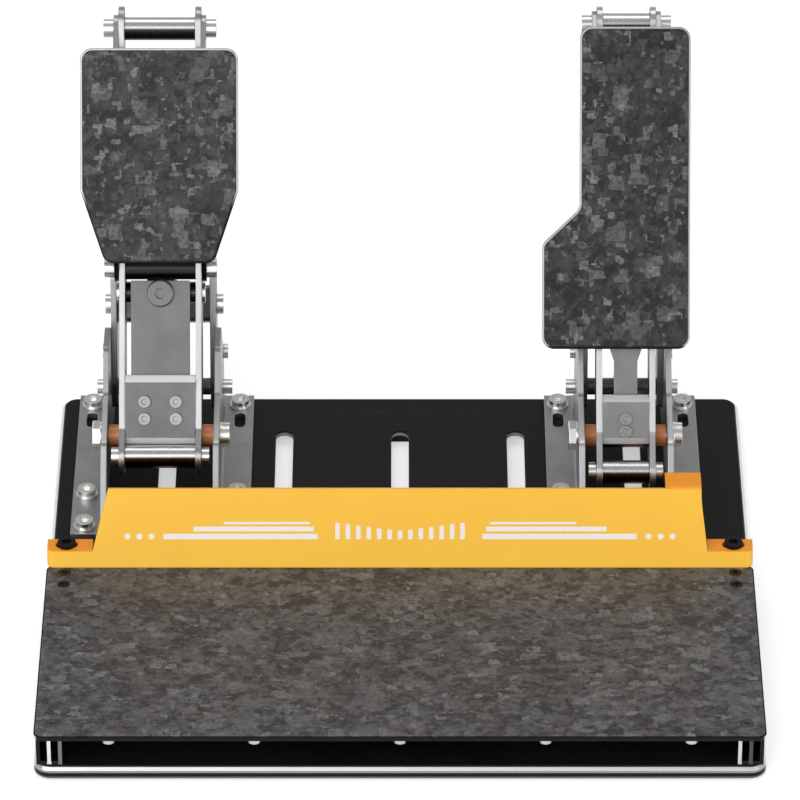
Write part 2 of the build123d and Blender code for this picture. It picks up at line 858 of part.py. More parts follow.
def make_frame_bolts(pedal):
    """Cross bolt, riser screws and the two screws that the end block hangs on."""
    cheek_face = pedal.arm_outer / 2 + cheek_clear + bracket_sheet
    riser_face = pedal.arm_outer / 2 + cheek_clear
    block_back, block_up = rod_end_point(pedal)
    with BuildPart() as bolts:
        for side in (-1, 1):
            face = Plane(
                origin=(pedal.centre_x + side * cheek_face, pivot_y, pivot_z),
                x_dir=(0, side, 0),
                z_dir=(side, 0, 0),
            )
            screw(
                face,
                side * frame_bolt[0],
                frame_bolt[1],
                frame_bolt_r,
                cheek_face,
                frame_bolt_head_r,
                frame_bolt_head_h,
            )
            screw(
                face,
                side * riser_screw[0],
                riser_screw[1],
                frame_bolt_r,
                bracket_sheet * 2,
                frame_bolt_head_r,
                riser_screw_head_h,
            )
            screw(
                face.offset(riser_face - cheek_face),
                side * block_back,
                block_up,
                swivel_screw_r,
                bracket_sheet + block_thick / 2,
                swivel_screw_head_r,
                swivel_screw_head_h,
            )
    return bolts


def make_frame_sleeve(pedal):
    reach = pedal.arm_outer / 2 + cheek_clear - bracket_sheet
    with BuildPart() as sleeve:
        tube(
            side_plane(pedal.centre_x - reach),
            *frame_bolt,
            frame_sleeve_r,
            frame_bolt_r + bolt_clearance,
            reach * 2,
        )
    return sleeve


def make_end_block(pedal):
    """Block between the risers with the bore that the rod slides through."""
    reach = pedal.arm_outer / 2 + cheek_clear - bracket_sheet
    centre = rod_plane(pedal, rod_rest_length)
    with BuildPart() as block:
        with BuildSketch(centre.offset(-block_thick / 2)):
            Rectangle(reach * 2, block_tall)
            Circle(rod_r + rod_bore_clearance, mode=Mode.SUBTRACT)
        extrude(amount=block_thick)
        fillet(block.edges().filter_by(Axis.X), block_round)
        for side in (-1, 1):
            face = side_plane(pedal.centre_x + side * reach)
            depth = -side * (block_thick / 2 + seat_gap)
            bore = swivel_screw_r + running_fit
            pillar(face, *rod_end_point(pedal), bore, depth, Mode.SUBTRACT)
    return block


def make_sensor_pod(pedal):
    """Sensor housing clamped on the sleeve, its nose behind the magnet on the arm."""
    with BuildPart() as pod:
        with BuildSketch(side_plane(pedal.centre_x - pod_width / 2)):
            disc_hull((*frame_bolt, pod_ring_r), (*pod_nose, pod_nose_r))
            with Locations(frame_bolt):
                Circle(frame_sleeve_r + running_fit, mode=Mode.SUBTRACT)
        extrude(amount=pod_width)
        chamfer(pod.faces().sort_by(Axis.X)[0].outer_wire().edges(), pod_bevel)
        chamfer(pod.faces().sort_by(Axis.X)[-1].outer_wire().edges(), pod_bevel)
    return pod


def make_arm_plate(pedal, side):
    """One side plate: hub, front toe, elbow at the rod pin and a slim top."""
    start = side * pedal.arm_outer / 2
    if side > 0:
        start = start - arm_sheet
    plane = side_plane(pedal.centre_x + start, rest_lean)
    with BuildPart() as plate:
        with BuildSketch(plane):
            disc_hull((0, 0, arm_hub_r), (pedal.tail_back, pedal.tail_u, arm_tail_r))
            disc_hull((0, 0, arm_hub_r), (rod_pin_back, rod_pin_u, arm_elbow_r))
            disc_hull((rod_pin_back, rod_pin_u, arm_elbow_r), (0, arm_tip_u, arm_tip_r))
            Circle(bush_sleeve_r + running_fit, mode=Mode.SUBTRACT)
            with Locations((rod_pin_back, rod_pin_u)):
                Circle(rod_pin_r + bolt_clearance, mode=Mode.SUBTRACT)
            with Locations(
                (pedal.tail_back, pedal.tail_u),
                (0, pedal.pad_low_bolt_u),
                (0, pedal.pad_high_bolt_u),
            ):
                Circle(cross_bolt_r + bolt_clearance, mode=Mode.SUBTRACT)
        extrude(amount=arm_sheet)
    return plate


def make_pivot_bushes(pedal):
    """Flanged bushes that run on the axle and fill the gap between arm and cheek."""
    with BuildPart() as bushes:
        for side in (-1, 1):
            arm_face = side_plane(pedal.centre_x + side * pedal.arm_outer / 2)
            flange = side * (cheek_clear - seat_gap)
            sleeve = -side * arm_sheet
            bore = axle_r + running_fit
            tube(arm_face, 0, 0, bush_flange_r, bore, flange)
            tube(arm_face, 0, 0, bush_sleeve_r, bore, sleeve)
    return bushes


def make_arm_web(pedal):
    """Thin plate between the side plates, narrower below on the throttle."""
    bottom = pedal.web_bottom_width / 2
    top = pedal.web_top_width / 2
    with BuildPart() as web:
        with BuildSketch(front_plane(pedal, block_back)):
            with BuildLine():
                Polyline(
                    (-bottom, pedal.web_bottom_u),
                    (bottom, pedal.web_bottom_u),
                    (bottom, web_step_bottom_u),
                    (top, web_step_top_u),
                    (top, pedal.web_top_u),
                    (-top, pedal.web_top_u),
                    (-top, web_step_top_u),
                    (-bottom, web_step_bottom_u),
                    close=True,
                )
            make_face()
        extrude(amount=-web_sheet)
        with BuildSketch(front_plane(pedal, block_back)):
            with Locations((0, rod_pin_u)):
                Circle(pedal.boss_r)
        extrude(amount=web_boss_h)
        chamfer(web.faces().sort_by(front_axis())[-1].edges(), web_boss_bevel)
        hex_recess(
            front_plane(pedal, block_back + web_boss_h),
            0,
            rod_pin_u,
            pedal.boss_r * boss_recess_share,
            web_boss_h,
        )
    return web


def front_axis():
    angle = radians(rest_lean)
    return Axis((0, 0, 0), (0, -cos(angle), sin(angle)))


def block_screw_places(pedal):
    with BuildSketch(Plane.XY) as marks:
        with Locations((0, pedal.block_screw_mid_u)):
            columns = pedal.block_screw_columns
            with GridLocations(pedal.block_screw_pitch_x, pedal.block_screw_pitch_u, columns, 2):
                Circle(block_screw_r)
    return [(face.center().X, face.center().Y) for face in marks.faces()]


def make_arm_block(pedal):
    """Bevelled block screwed between the plates in front of the pivot."""
    width = pedal.arm_outer - arm_sheet * 2
    mid_u = (pedal.block_bottom_u + pedal.block_top_u) / 2
    with BuildPart() as block:
        with BuildSketch(front_plane(pedal, block_back)):
            with Locations((0, mid_u)):
                Rectangle(width, pedal.block_top_u - pedal.block_bottom_u)
        extrude(amount=block_depth)
        front = block.faces().sort_by(front_axis())[-1]
        chamfer(front.edges().filter_by(Axis.X), block_bevel)
        for x, u in block_screw_places(pedal):
            face = front_plane(pedal, block_back + block_depth)
            deep = -block_screw_length - seat_gap
            pillar(face, x, u, block_screw_r + running_fit, deep, Mode.SUBTRACT)
    return block


def make_arm_screws(pedal):
    with BuildPart() as screws:
        for x, u in block_screw_places(pedal):
            screw(
                front_plane(pedal, block_back + block_depth),
                x,
                u,
                block_screw_r,
                block_screw_length,
                block_screw_head_r,
                block_screw_head_h,
            )
    return screws


def make_arm_sleeves(pedal):
    """Spacer tubes between the side plates, and one each side of the rod's eye."""
    inner = pedal.arm_outer / 2 - arm_sheet
    left = side_plane(pedal.centre_x - inner, rest_lean)
    bolt_bore = cross_bolt_r + bolt_clearance
    with BuildPart() as sleeves:
        tube(left, 0, 0, pivot_sleeve_r, axle_r + running_fit, inner * 2)
        tube(left, pedal.tail_back, pedal.tail_u, cross_sleeve_r, bolt_bore, inner * 2)
        tube(left, 0, pedal.pad_low_bolt_u, cross_sleeve_r, bolt_bore, inner * 2)
        tube(left, 0, pedal.pad_high_bolt_u, cross_sleeve_r, bolt_bore, inner * 2)
        spacer = inner - eye_width / 2 - seat_gap
        right = left.offset(inner * 2 - spacer)
        for plane in (left, right):
            tube(
                plane,
                rod_pin_back,
                rod_pin_u,
                rod_pin_head_r,
                rod_pin_r + bolt_clearance,
                spacer,
            )
    return sleeves


def make_arm_bolts(pedal):
    """Cross bolts of the arm and the riveted pin that the rod hangs on."""
    reach = pedal.arm_outer / 2

    def leaned(x):
        return side_plane(x, rest_lean)

    with BuildPart() as bolts:
        for back, up, stand, head_h in (
            (pedal.tail_back, pedal.tail_u, reach, tail_bolt_head_h),
            (0, pedal.pad_low_bolt_u, reach + tab_sheet, cross_bolt_head_h),
            (0, pedal.pad_high_bolt_u, reach + tab_sheet, cross_bolt_head_h),
        ):
            cross_bolt(
                pedal,
                leaned,
                back,
                up,
                stand,
                cross_bolt_r,
                cross_bolt_head_r,
                head_h,
            )
        left = leaned(pedal.centre_x - reach)
        pillar(left, rod_pin_back, rod_pin_u, rod_pin_r, reach * 2)
        pillar(left, rod_pin_back, rod_pin_u, rod_pin_head_r, -rod_pin_head_h)
        pillar(
            leaned(pedal.centre_x + reach),
            rod_pin_back,
            rod_pin_u,
            rod_pin_head_r,
            rod_pin_head_h,
        )
    return bolts


def make_pad_plate(pedal):
    """Backing plate with two pairs of tabs bent back to the arm's cross bolts."""
    with BuildPart() as plate:
        with BuildSketch(front_plane(pedal, pad_back)) as outline:
            with BuildLine():
                Polyline(*pedal.pad_outline, close=True)
            make_face()
            fillet(outline.vertices(), pad_corner)
        extrude(amount=pad_sheet)
        chamfer(plate.faces().sort_by(front_axis())[-1].edges(), pad_edge_bevel)
        root_back = -pad_back - pad_sheet / 2 + tab_root_r
        for side in (-1, 1):
            start = side * pedal.arm_outer / 2
            if side < 0:
                start = start - tab_sheet
            plane = side_plane(pedal.centre_x + start, rest_lean)
            low = pedal.pad_low_bolt_u
            high = pedal.pad_high_bolt_u
            low_root = max(pedal.pad_outline[3][1], pedal.pad_outline[4][1]) + pad_corner
            if low_root < low:
                low_root = low
            high_root = pedal.pad_outline[0][1] - pad_corner
            with BuildSketch(plane) as tabs:
                disc_hull(
                    (0, low, tab_eye_r),
                    (root_back, low_root, tab_root_r),
                    (root_back, low_root + tab_eye_r * 2, tab_root_r),
                )
                disc_hull(
                    (0, high, tab_eye_r),
                    (root_back, high_root, tab_root_r),
                    (root_back, high_root - tab_eye_r * 2, tab_root_r),
                )
                with Locations((0, low), (0, high)):
                    Circle(cross_bolt_r + bolt_clearance, mode=Mode.SUBTRACT)
            extrude(tabs.sketch, amount=tab_sheet)
    return plate


def make_pad_face(pedal):
    with BuildPart() as face:
        with BuildSketch(front_plane(pedal, pad_back + pad_sheet)) as outline:
            with BuildLine():
                Polyline(*pedal.pad_outline, close=True)
            make_face()
            fillet(outline.vertices(), pad_corner)
            offset(amount=-pad_border, mode=Mode.REPLACE)
        extrude(amount=pad_face_sheet)
        chamfer(face.faces().sort_by(front_axis())[-1].edges(), pad_edge_bevel)
    return face


def make_magnet(pedal):
    """Magnet holder across the arm behind the pivot."""
    inner = pedal.arm_outer / 2 - arm_sheet
    back = front_plane(pedal, -magnet_back - magnet_thick)
    with BuildPart() as magnet:
        with BuildSketch(back):
            Rectangle(inner * 2, magnet_tall)
        extrude(amount=magnet_thick)
        with BuildSketch(back):
            Circle(magnet_disc_r)
        extrude(amount=-magnet_disc_h)
    return magnet


def make_rod_end(pedal):
    """Eye on the arm's pin and the neck that the rod screws into."""
    plane = rod_plane(pedal)
    pin = plane.origin
    with BuildPart() as rod_end:
        with BuildSketch(Plane.YZ.offset(pedal.centre_x - eye_width / 2)):
            with Locations((pin.Y, pin.Z)):
                Circle(eye_r)
        extrude(amount=eye_width)
        with BuildSketch(plane):
            Circle(neck_r)
        extrude(amount=neck_reach)
        with BuildSketch(Plane.YZ.offset(pedal.centre_x - eye_width)):
            with Locations((pin.Y, pin.Z)):
                Circle(rod_pin_r + running_fit)
        extrude(amount=eye_width * 2, mode=Mode.SUBTRACT)
    return rod_end


def make_rod(pedal):
    """Threaded rod with its lock nuts behind the end block."""
    nut_start = rod_rest_length + block_thick / 2 + seat_gap
    rod_end = nut_start + lock_nut_h + rod_tail
    with BuildPart() as rod:
        with BuildSketch(rod_plane(pedal, neck_reach)):
            Circle(rod_r)
        extrude(amount=rod_end - neck_reach)
        chamfer(rod.edges().filter_by(GeomType.CIRCLE).sort_by(Axis.Z)[0], rod_bevel)
        with BuildSketch(rod_plane(pedal, nut_start)):
            RegularPolygon(lock_nut_flats / 2, 6, major_radius=False)
        extrude(amount=lock_nut_h)
    return rod


def make_spring_seat(pedal):
    """Flanged cup on the rod that the spring pushes on."""
    with BuildPart() as seat:
        with BuildSketch(rod_plane(pedal, neck_reach)):
            Circle(pedal.seat_r)
            Circle(rod_r + running_fit, mode=Mode.SUBTRACT)
        extrude(amount=seat_sheet)
        rims = seat.edges().filter_by(GeomType.CIRCLE)
        chamfer(rims.group_by(SortBy.RADIUS)[-1], seat_bevel)
    return seat


def arc_middle(start, heading, end):
    """Middle of the arc that leaves start along heading and reaches end."""
    chord = end - start
    along = chord.normalized()
    lift = heading - along * heading.dot(along)
    if lift.length < straight_share:
        return start + chord / 2
    half_turn = atan2(lift.length, heading.dot(along))
    return start + chord / 2 + lift.normalized() * (chord.length / 2 * tan(half_turn / 2))


def biarc_points(start, start_heading, end, end_heading):
    """Three-point arcs that join two points with the headings given."""
    span = end - start
    both = start_heading + end_heading
    a = 2 * (1 - start_heading.dot(end_heading))
    b = 2 * span.dot(both)
    c = -span.dot(span)
    if a < straight_share:
        reach = -c / b
    else:
        reach = (-b + sqrt(b * b - 4 * a * c)) / (2 * a)
    joint = (start + start_heading * reach + end - end_heading * reach) / 2
    joint_heading = (joint - start - start_heading * reach).normalized()
    if (end - end_heading * reach - joint).length > 0:
        joint_heading = (end - end_heading * reach - joint).normalized()
    first = (start, arc_middle(start, start_heading, joint), joint)
    second = (joint, arc_middle(joint, joint_heading, end), end)
    return first, second


def make_spring(pedal):
    """Coil spring from the seat to the end block, one wire with its ends turned square."""
    start = neck_reach + seat_sheet
    finish = rod_rest_length - block_thick / 2 - seat_gap
    wire = pedal.wire_r
    stub = wire * wire_stub_share
    bend = wire * wire_bend_share
    helix_start = stub + bend
    helix_end = finish - start - stub - bend
    pitch = wire * wire_pitch_share
    quarters = ceil((helix_end - helix_start) / pitch * 4)
    rise = (helix_end - helix_start) / quarters
    base = rod_plane(pedal, start)
    slope = atan2(rise, pedal.spring_r * pi / 2)

    def helix_point(index):
        turn = index * pi / 2
        height = helix_start + rise * index
        return Vector(pedal.spring_r * cos(turn), pedal.spring_r * sin(turn), height)

    def helix_heading(index):
        turn = index * pi / 2
        return Vector(-sin(turn) * cos(slope), cos(turn) * cos(slope), sin(slope))

    straight_up = Vector(0, 0, 1)
    first = helix_point(0) - Vector(0, bend, bend)
    last_heading = helix_heading(quarters)
    flat = Vector(last_heading.X, last_heading.Y, 0).normalized()
    last = helix_point(quarters) + flat * bend + straight_up * bend
    stations = [(first, straight_up)]
    stations += [(helix_point(index), helix_heading(index)) for index in range(quarters + 1)]
    stations += [(last, straight_up)]
    gap = least_self_gap(pedal, rise, quarters)
    print(pedal.name, "spring turns", quarters / 4, "least gap to itself", round(gap, 2))
    with BuildPart() as spring:
        with BuildLine() as path:
            foot = first - straight_up * stub
            Line(base.from_local_coords(foot), base.from_local_coords(first))
            for (point, heading), (next_point, next_heading) in zip(stations, stations[1:]):
                for arc in biarc_points(point, heading, next_point, next_heading):
                    ThreePointArc(*[base.from_local_coords(spot) for spot in arc])
            head = last + straight_up * stub
            Line(base.from_local_coords(last), base.from_local_coords(head))
        foot_plane = Plane(
            origin=base.from_local_coords(foot),
            x_dir=base.x_dir,
            z_dir=base.z_dir,
        )
        with BuildSketch(foot_plane):
            Circle(wire)
        sweep(path=path.wires()[0])
    return spring


def least_self_gap(pedal, rise, quarters):
    """Least distance between the wire's surface and its own turns, on fine points."""
    samples = []
    per_quarter = 12
    for step in range(quarters * per_quarter + 1):
        turn = step / per_quarter * pi / 2
        height = rise * step / per_quarter
        samples.append((pedal.spring_r * cos(turn), pedal.spring_r * sin(turn), height))
    least = pedal.spring_r
    for index, one in enumerate(samples):
        for other in samples[index + per_quarter * 2:]:
            away = sqrt(sum((p - q) ** 2 for p, q in zip(one, other)))
            least = min(least, away - pedal.wire_r * 2)
    return least


def rod_error(pedal):
    """How far the rod's line passes from the bore's middle over the travel."""
    block_back, block_up = rod_end_point(pedal)
    drop = radians(rod_drop)
    worst = 0
    for step in range(11):
        lean = radians(rest_lean + pedal.travel * step / 10)
        pin_back = rod_pin_u * sin(lean) + rod_pin_back * cos(lean)
        pin_up = rod_pin_u * cos(lean) - rod_pin_back * sin(lean)
        across = (block_back - pin_back) * sin(drop) + (block_up - pin_up) * cos(drop)
        worst = max(worst, abs(across))
    shortest = hypot(block_back - pin_back, block_up - pin_up)
    print(pedal.name, "rod off the bore's middle", round(worst, 3), "stroke",
          round(rod_rest_length - shortest, 2))


for pedal in (brake, gas):
    rod_error(pedal)
    for side, side_name in ((-1, "left"), (1, "right")):
        save(make_cheek(pedal, side), pedal.name + "_cheek_" + side_name)
        save(make_arm_plate(pedal, side), pedal.name + "_arm_" + side_name)
    save(make_risers(pedal), pedal.name + "_risers")
    save(make_foot_bolts(pedal), pedal.name + "_foot_bolts")
    save(make_pivot_axle(pedal), pedal.name + "_pivot_axle")
    save(make_frame_bolts(pedal), pedal.name + "_frame_bolts")
    save(make_frame_sleeve(pedal), pedal.name + "_frame_sleeve")
    save(make_end_block(pedal), pedal.name + "_end_block")
    save(make_sensor_pod(pedal), pedal.name + "_sensor_pod")
    save(make_pivot_bushes(pedal), pedal.name + "_pivot_bushes")
    save(make_arm_web(pedal), pedal.name + "_arm_web")
    save(make_arm_block(pedal), pedal.name + "_arm_block")
    save(make_arm_screws(pedal), pedal.name + "_arm_screws")
    save(make_arm_sleeves(pedal), pedal.name + "_arm_sleeves")
    save(make_arm_bolts(pedal), pedal.name + "_arm_bolts")
    save(make_pad_plate(pedal), pedal.name + "_pad_plate")
    save(make_pad_face(pedal), pedal.name + "_pad_face")
    save(make_magnet(pedal), pedal.name + "_magnet_holder")
    save(make_rod_end(pedal), pedal.name + "_rod_end")
    save(make_rod(pedal), pedal.name + "_rod")
    save(make_spring_seat(pedal), pedal.name + "_spring_seat")
    save(make_spring(pedal), pedal.name + "_spring")
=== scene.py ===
import bmesh
import bpy
import json
import math
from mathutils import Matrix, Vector


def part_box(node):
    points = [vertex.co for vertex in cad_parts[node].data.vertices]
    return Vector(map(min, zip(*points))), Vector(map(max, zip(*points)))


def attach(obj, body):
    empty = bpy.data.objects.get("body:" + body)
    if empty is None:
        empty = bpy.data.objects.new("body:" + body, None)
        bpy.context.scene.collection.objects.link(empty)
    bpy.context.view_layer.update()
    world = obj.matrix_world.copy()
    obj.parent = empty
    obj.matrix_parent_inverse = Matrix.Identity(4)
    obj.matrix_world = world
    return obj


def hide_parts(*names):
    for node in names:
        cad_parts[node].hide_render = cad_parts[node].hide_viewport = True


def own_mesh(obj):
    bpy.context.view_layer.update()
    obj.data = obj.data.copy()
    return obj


# Dressing of a two-pedal set: finishes on every CAD piece, wound springs, threaded rods and
# the printed band on the toe stop, with a pale floor, soft light and the photograph's camera.
# Metres, X to the driver's right, Y away from the driver, Z up.

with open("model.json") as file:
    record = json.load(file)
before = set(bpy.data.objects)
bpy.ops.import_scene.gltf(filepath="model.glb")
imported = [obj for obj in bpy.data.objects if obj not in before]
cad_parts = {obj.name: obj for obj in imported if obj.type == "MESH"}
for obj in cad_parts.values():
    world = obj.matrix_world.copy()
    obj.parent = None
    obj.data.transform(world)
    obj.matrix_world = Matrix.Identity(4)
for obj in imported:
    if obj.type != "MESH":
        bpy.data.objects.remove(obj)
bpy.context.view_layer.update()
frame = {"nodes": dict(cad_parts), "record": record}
nodes = frame["nodes"]

mm = 0.001


# Node trees

def add(tree, kind, **settings):
    """A new shader node with its plain settings."""
    made = tree.nodes.new(kind)
    for name, value in settings.items():
        setattr(made, name, value)
    return made


def feed(tree, socket, value):
    """Sets a socket to a number or colour, or links it from another node's output."""
    if isinstance(value, bpy.types.NodeSocket):
        tree.links.new(value, socket)
    else:
        socket.default_value = value


def maths(tree, operation, *values):
    """A number worked out from others."""
    made = add(tree, "ShaderNodeMath", operation=operation)
    for socket, value in zip(made.inputs, values):
        feed(tree, socket, value)
    return made.outputs[0]


def vectors(tree, operation, *values):
    """A vector, or a number from vectors. The node itself comes back, for its several outputs."""
    made = add(tree, "ShaderNodeVectorMath", operation=operation)
    for socket, value in zip(made.inputs, values):
        feed(tree, socket, value)
    return made


def mixed(tree, share, first, second):
    """Colour between first and second."""
    made = add(tree, "ShaderNodeMix", data_type="RGBA")
    feed(tree, made.inputs["Factor"], share)
    feed(tree, made.inputs[6], first)
    feed(tree, made.inputs[7], second)
    return made.outputs[2]


def spread(tree, value, low, high, to_low=0.0, to_high=1.0):
    """The value mapped from one range to another, and held at its ends."""
    made = add(tree, "ShaderNodeMapRange", clamp=True)
    for name, number in (
        ("Value", value),
        ("From Min", low),
        ("From Max", high),
        ("To Min", to_low),
        ("To Max", to_high),
    ):
        feed(tree, made.inputs[name], number)
    return made.outputs[0]


def graded(tree, mask, none, full):
    """A value that goes from none to full with a mask."""
    return spread(tree, mask, 0.0, 1.0, none, full)


def falling(tree, value, low, high):
    """One below low, and nothing beyond high."""
    return spread(tree, value, low, high, 1.0, 0.0)


def noise(tree, place, scale, detail=2.0, roughness=0.5):
    """Soft noise, its scale in waves per metre."""
    made = add(tree, "ShaderNodeTexNoise")
    feed(tree, made.inputs["Vector"], place)
    feed(tree, made.inputs["Scale"], scale)
    feed(tree, made.inputs["Detail"], detail)
    feed(tree, made.inputs["Roughness"], roughness)
    return made


def chips(tree, place, scale, distance="CHEBYCHEV"):
    """Cells with straight sides, their scale in cells per metre."""
    made = add(tree, "ShaderNodeTexVoronoi", distance=distance)
    feed(tree, made.inputs["Vector"], place)
    feed(tree, made.inputs["Scale"], scale)
    return made


def effect(name, inputs, outputs):
    """An empty node group with its named sockets, and its two end nodes."""
    group = bpy.data.node_groups.new(name, "ShaderNodeTree")
    for socket, start in inputs:
        made = group.interface.new_socket(socket, in_out="INPUT", socket_type="NodeSocketFloat")
        made.default_value = start
    for socket, kind in outputs:
        group.interface.new_socket(socket, in_out="OUTPUT", socket_type=kind)
    return group, group.nodes.new("NodeGroupInput"), group.nodes.new("NodeGroupOutput")


def use(tree, group, **values):
    """Places an effect in a material with its own values."""
    made = tree.nodes.new("ShaderNodeGroup")
    made.node_tree = group
    for name, value in values.items():
        feed(tree, made.inputs[name.replace("_", " ")], value)
    return made


def here(tree):
    """The place on the piece, in metres from the frame's origin."""
    return add(tree, "ShaderNodeTexCoord").outputs["Object"]


def parts_of(tree, vector):
    """The X, Y and Z of a place or a normal."""
    made = add(tree, "ShaderNodeSeparateXYZ")
    tree.links.new(vector, made.inputs[0])
    return made.outputs


def facing(tree, way, low, high, back_too=False):
    """One where the surface faces a way on its own piece, from cosine low to cosine high."""
    normal = add(tree, "ShaderNodeTexCoord").outputs["Normal"]
    cosine = vectors(tree, "DOT_PRODUCT", normal, way).outputs["Value"]
    if back_too:
        cosine = maths(tree, "ABSOLUTE", cosine)
    return spread(tree, cosine, low, high)


def between(tree, value, low, high, soft):
    """One between low and high, falling to nothing over soft at each end."""
    rising = spread(tree, value, low - soft, low + soft)
    return maths(tree, "MULTIPLY", rising, falling(tree, value, high - soft, high + soft))


def both(tree, *masks):
    """Where every mask is one."""
    found = masks[0]
    for mask in masks[1:]:
        found = maths(tree, "MULTIPLY", found, mask)
    return found


def any_of(tree, *masks):
    """Where at least one mask is one."""
    found = masks[0]
    for mask in masks[1:]:
        found = maths(tree, "MAXIMUM", found, mask)
    return found


def grey(value):
    """Neutral colour."""
    return (value, value, value, 1.0)


def shaded(colour, share):
    """The colour made darker or lighter, kept below full white."""
    return tuple(min(part * share, 0.95) for part in colour[:3]) + (1.0,)


def clouded(tree, patches, colour, darkest, low=0.3, high=0.7):
    """The colour, down to its darkest share where patches are low."""
    return mixed(tree, spread(tree, patches, low, high), shaded(colour, darkest), colour)


# Effects that several finishes share

def build_grain():
    """Fine even texture, as of powder coat or blasted metal."""
    group, into, out = effect(
        "fine grain",
        [("Scale", 2000.0), ("Softness", 0.5)],
        [("Height", "NodeSocketFloat"), ("Patches", "NodeSocketFloat")],
    )
    place = here(group)
    scale = into.outputs["Scale"]
    wide_scale = maths(group, "MULTIPLY", scale, 0.02)
    fine = noise(group, place, scale, detail=3.0, roughness=into.outputs["Softness"])
    wide = noise(group, place, wide_scale, detail=4.0, roughness=0.6)
    group.links.new(fine.outputs[0], out.inputs["Height"])
    group.links.new(wide.outputs[0], out.inputs["Patches"])
    return group


# How far a rounded normal turns from the true one, from no edge to a full one
edge_bend = (0.004, 0.12)


def build_worn_edges():
    """Mask of the outer edges, broken up by noise, and the normal of edges rounded over."""
    group, into, out = effect(
        "worn edges",
        [("Radius", 0.0006), ("Strength", 1.0), ("Breakup", 0.4)],
        [("Mask", "NodeSocketFloat"), ("Rounded", "NodeSocketVector")],
    )
    rounded = add(group, "ShaderNodeBevel", samples=6)
    group.links.new(into.outputs["Radius"], rounded.inputs["Radius"])
    true = add(group, "ShaderNodeNewGeometry").outputs["Normal"]
    alike = vectors(group, "DOT_PRODUCT", rounded.outputs[0], true).outputs["Value"]
    bend = spread(group, maths(group, "SUBTRACT", 1.0, alike), *edge_bend)
    patches = noise(group, here(group), scale=260.0, detail=3.0, roughness=0.6).outputs[0]
    broken = spread(group, patches, 0.35, 0.6)
    kept = maths(group, "SUBTRACT", 1.0, maths(group, "MULTIPLY", into.outputs["Breakup"], broken))
    mask = both(group, bend, kept, into.outputs["Strength"])
    group.links.new(mask, out.inputs["Mask"])
    group.links.new(rounded.outputs[0], out.inputs["Rounded"])
    return group


# Layers of chips: the turn, the share of the scale and the weight of each, and for the bright
# chips the share, the value above which a chip is bright, and the weight.
chip_layers = ((0.0, 0.5, 0.3), (0.1, 1.0, 0.36), (0.3, 2.1, 0.34))
bright_layers = ((0.55, 0.86, 0.62), (1.0, 0.88, 1.0), (1.9, 0.9, 0.8))
chip_wander = 0.0024
bright_wander = 0.0009


def drifted(tree, place, drift, reach):
    """The place moved along a drift, by its reach in metres."""
    shift = vectors(tree, "SCALE", drift)
    shift.inputs["Scale"].default_value = reach
    return vectors(tree, "ADD", place, shift.outputs[0]).outputs[0]


def build_flakes():
    """Overlapping chips of woven fibre, pressed flat and each shaded by its own lie."""
    group, into, out = effect(
        "pressed flakes",
        [("Chips per metre", 220.0), ("Stretch", 1.0), ("Lean", 0.0)],
        [
            ("Tone", "NodeSocketFloat"),
            ("Bright chips", "NodeSocketFloat"),
            ("Height", "NodeSocketFloat"),
        ],
    )
    place = here(group)
    upright = add(group, "ShaderNodeVectorRotate", rotation_type="X_AXIS")
    group.links.new(place, upright.inputs["Vector"])
    group.links.new(into.outputs["Lean"], upright.inputs["Angle"])
    stretch = add(group, "ShaderNodeCombineXYZ")
    group.links.new(into.outputs["Stretch"], stretch.inputs[0])
    stretch.inputs[1].default_value = 1.0
    stretch.inputs[2].default_value = 1.0
    shaped = vectors(group, "MULTIPLY", upright.outputs[0], stretch.outputs[0]).outputs[0]
    wander = noise(group, shaped, scale=420.0, detail=2.0, roughness=0.6).outputs["Color"]
    drift = vectors(group, "SUBTRACT", wander, (0.5, 0.5, 0.5)).outputs[0]
    wavy = drifted(group, shaped, drift, chip_wander)
    nearly_straight = drifted(group, shaped, drift, bright_wander)
    tone = None
    height = None
    for turn, share, weight in chip_layers:
        rotated = add(group, "ShaderNodeVectorRotate", rotation_type="EULER_XYZ")
        group.links.new(wavy, rotated.inputs["Vector"])
        rotated.inputs["Rotation"].default_value = (turn, turn * 0.7, turn * 1.3)
        scale = maths(group, "MULTIPLY", into.outputs["Chips per metre"], share)
        layer = chips(group, rotated.outputs[0], scale)
        shade = maths(group, "MULTIPLY", parts_of(group, layer.outputs["Color"])[0], weight)
        rim = maths(group, "MULTIPLY", layer.outputs["Distance"], weight)
        tone = shade if tone is None else maths(group, "ADD", tone, shade)
        height = rim if height is None else maths(group, "ADD", height, rim)
    bright = None
    for share, low, weight in bright_layers:
        scale = maths(group, "MULTIPLY", into.outputs["Chips per metre"], share)
        layer = chips(group, nearly_straight, scale)
        picked = spread(group, parts_of(group, layer.outputs["Color"])[1], low, low + 0.1)
        picked = maths(group, "MULTIPLY", picked, weight)
        bright = picked if bright is None else maths(group, "MAXIMUM", bright, picked)
    fade = noise(group, place, scale=520.0, detail=3.0, roughness=0.65).outputs[0]
    shown = spread(group, fade, 0.34, 0.6, to_low=0.2, to_high=1.0)
    bright = maths(group, "MULTIPLY", bright, shown)
    group.links.new(tone, out.inputs["Tone"])
    group.links.new(bright, out.inputs["Bright chips"])
    group.links.new(height, out.inputs["Height"])
    return group


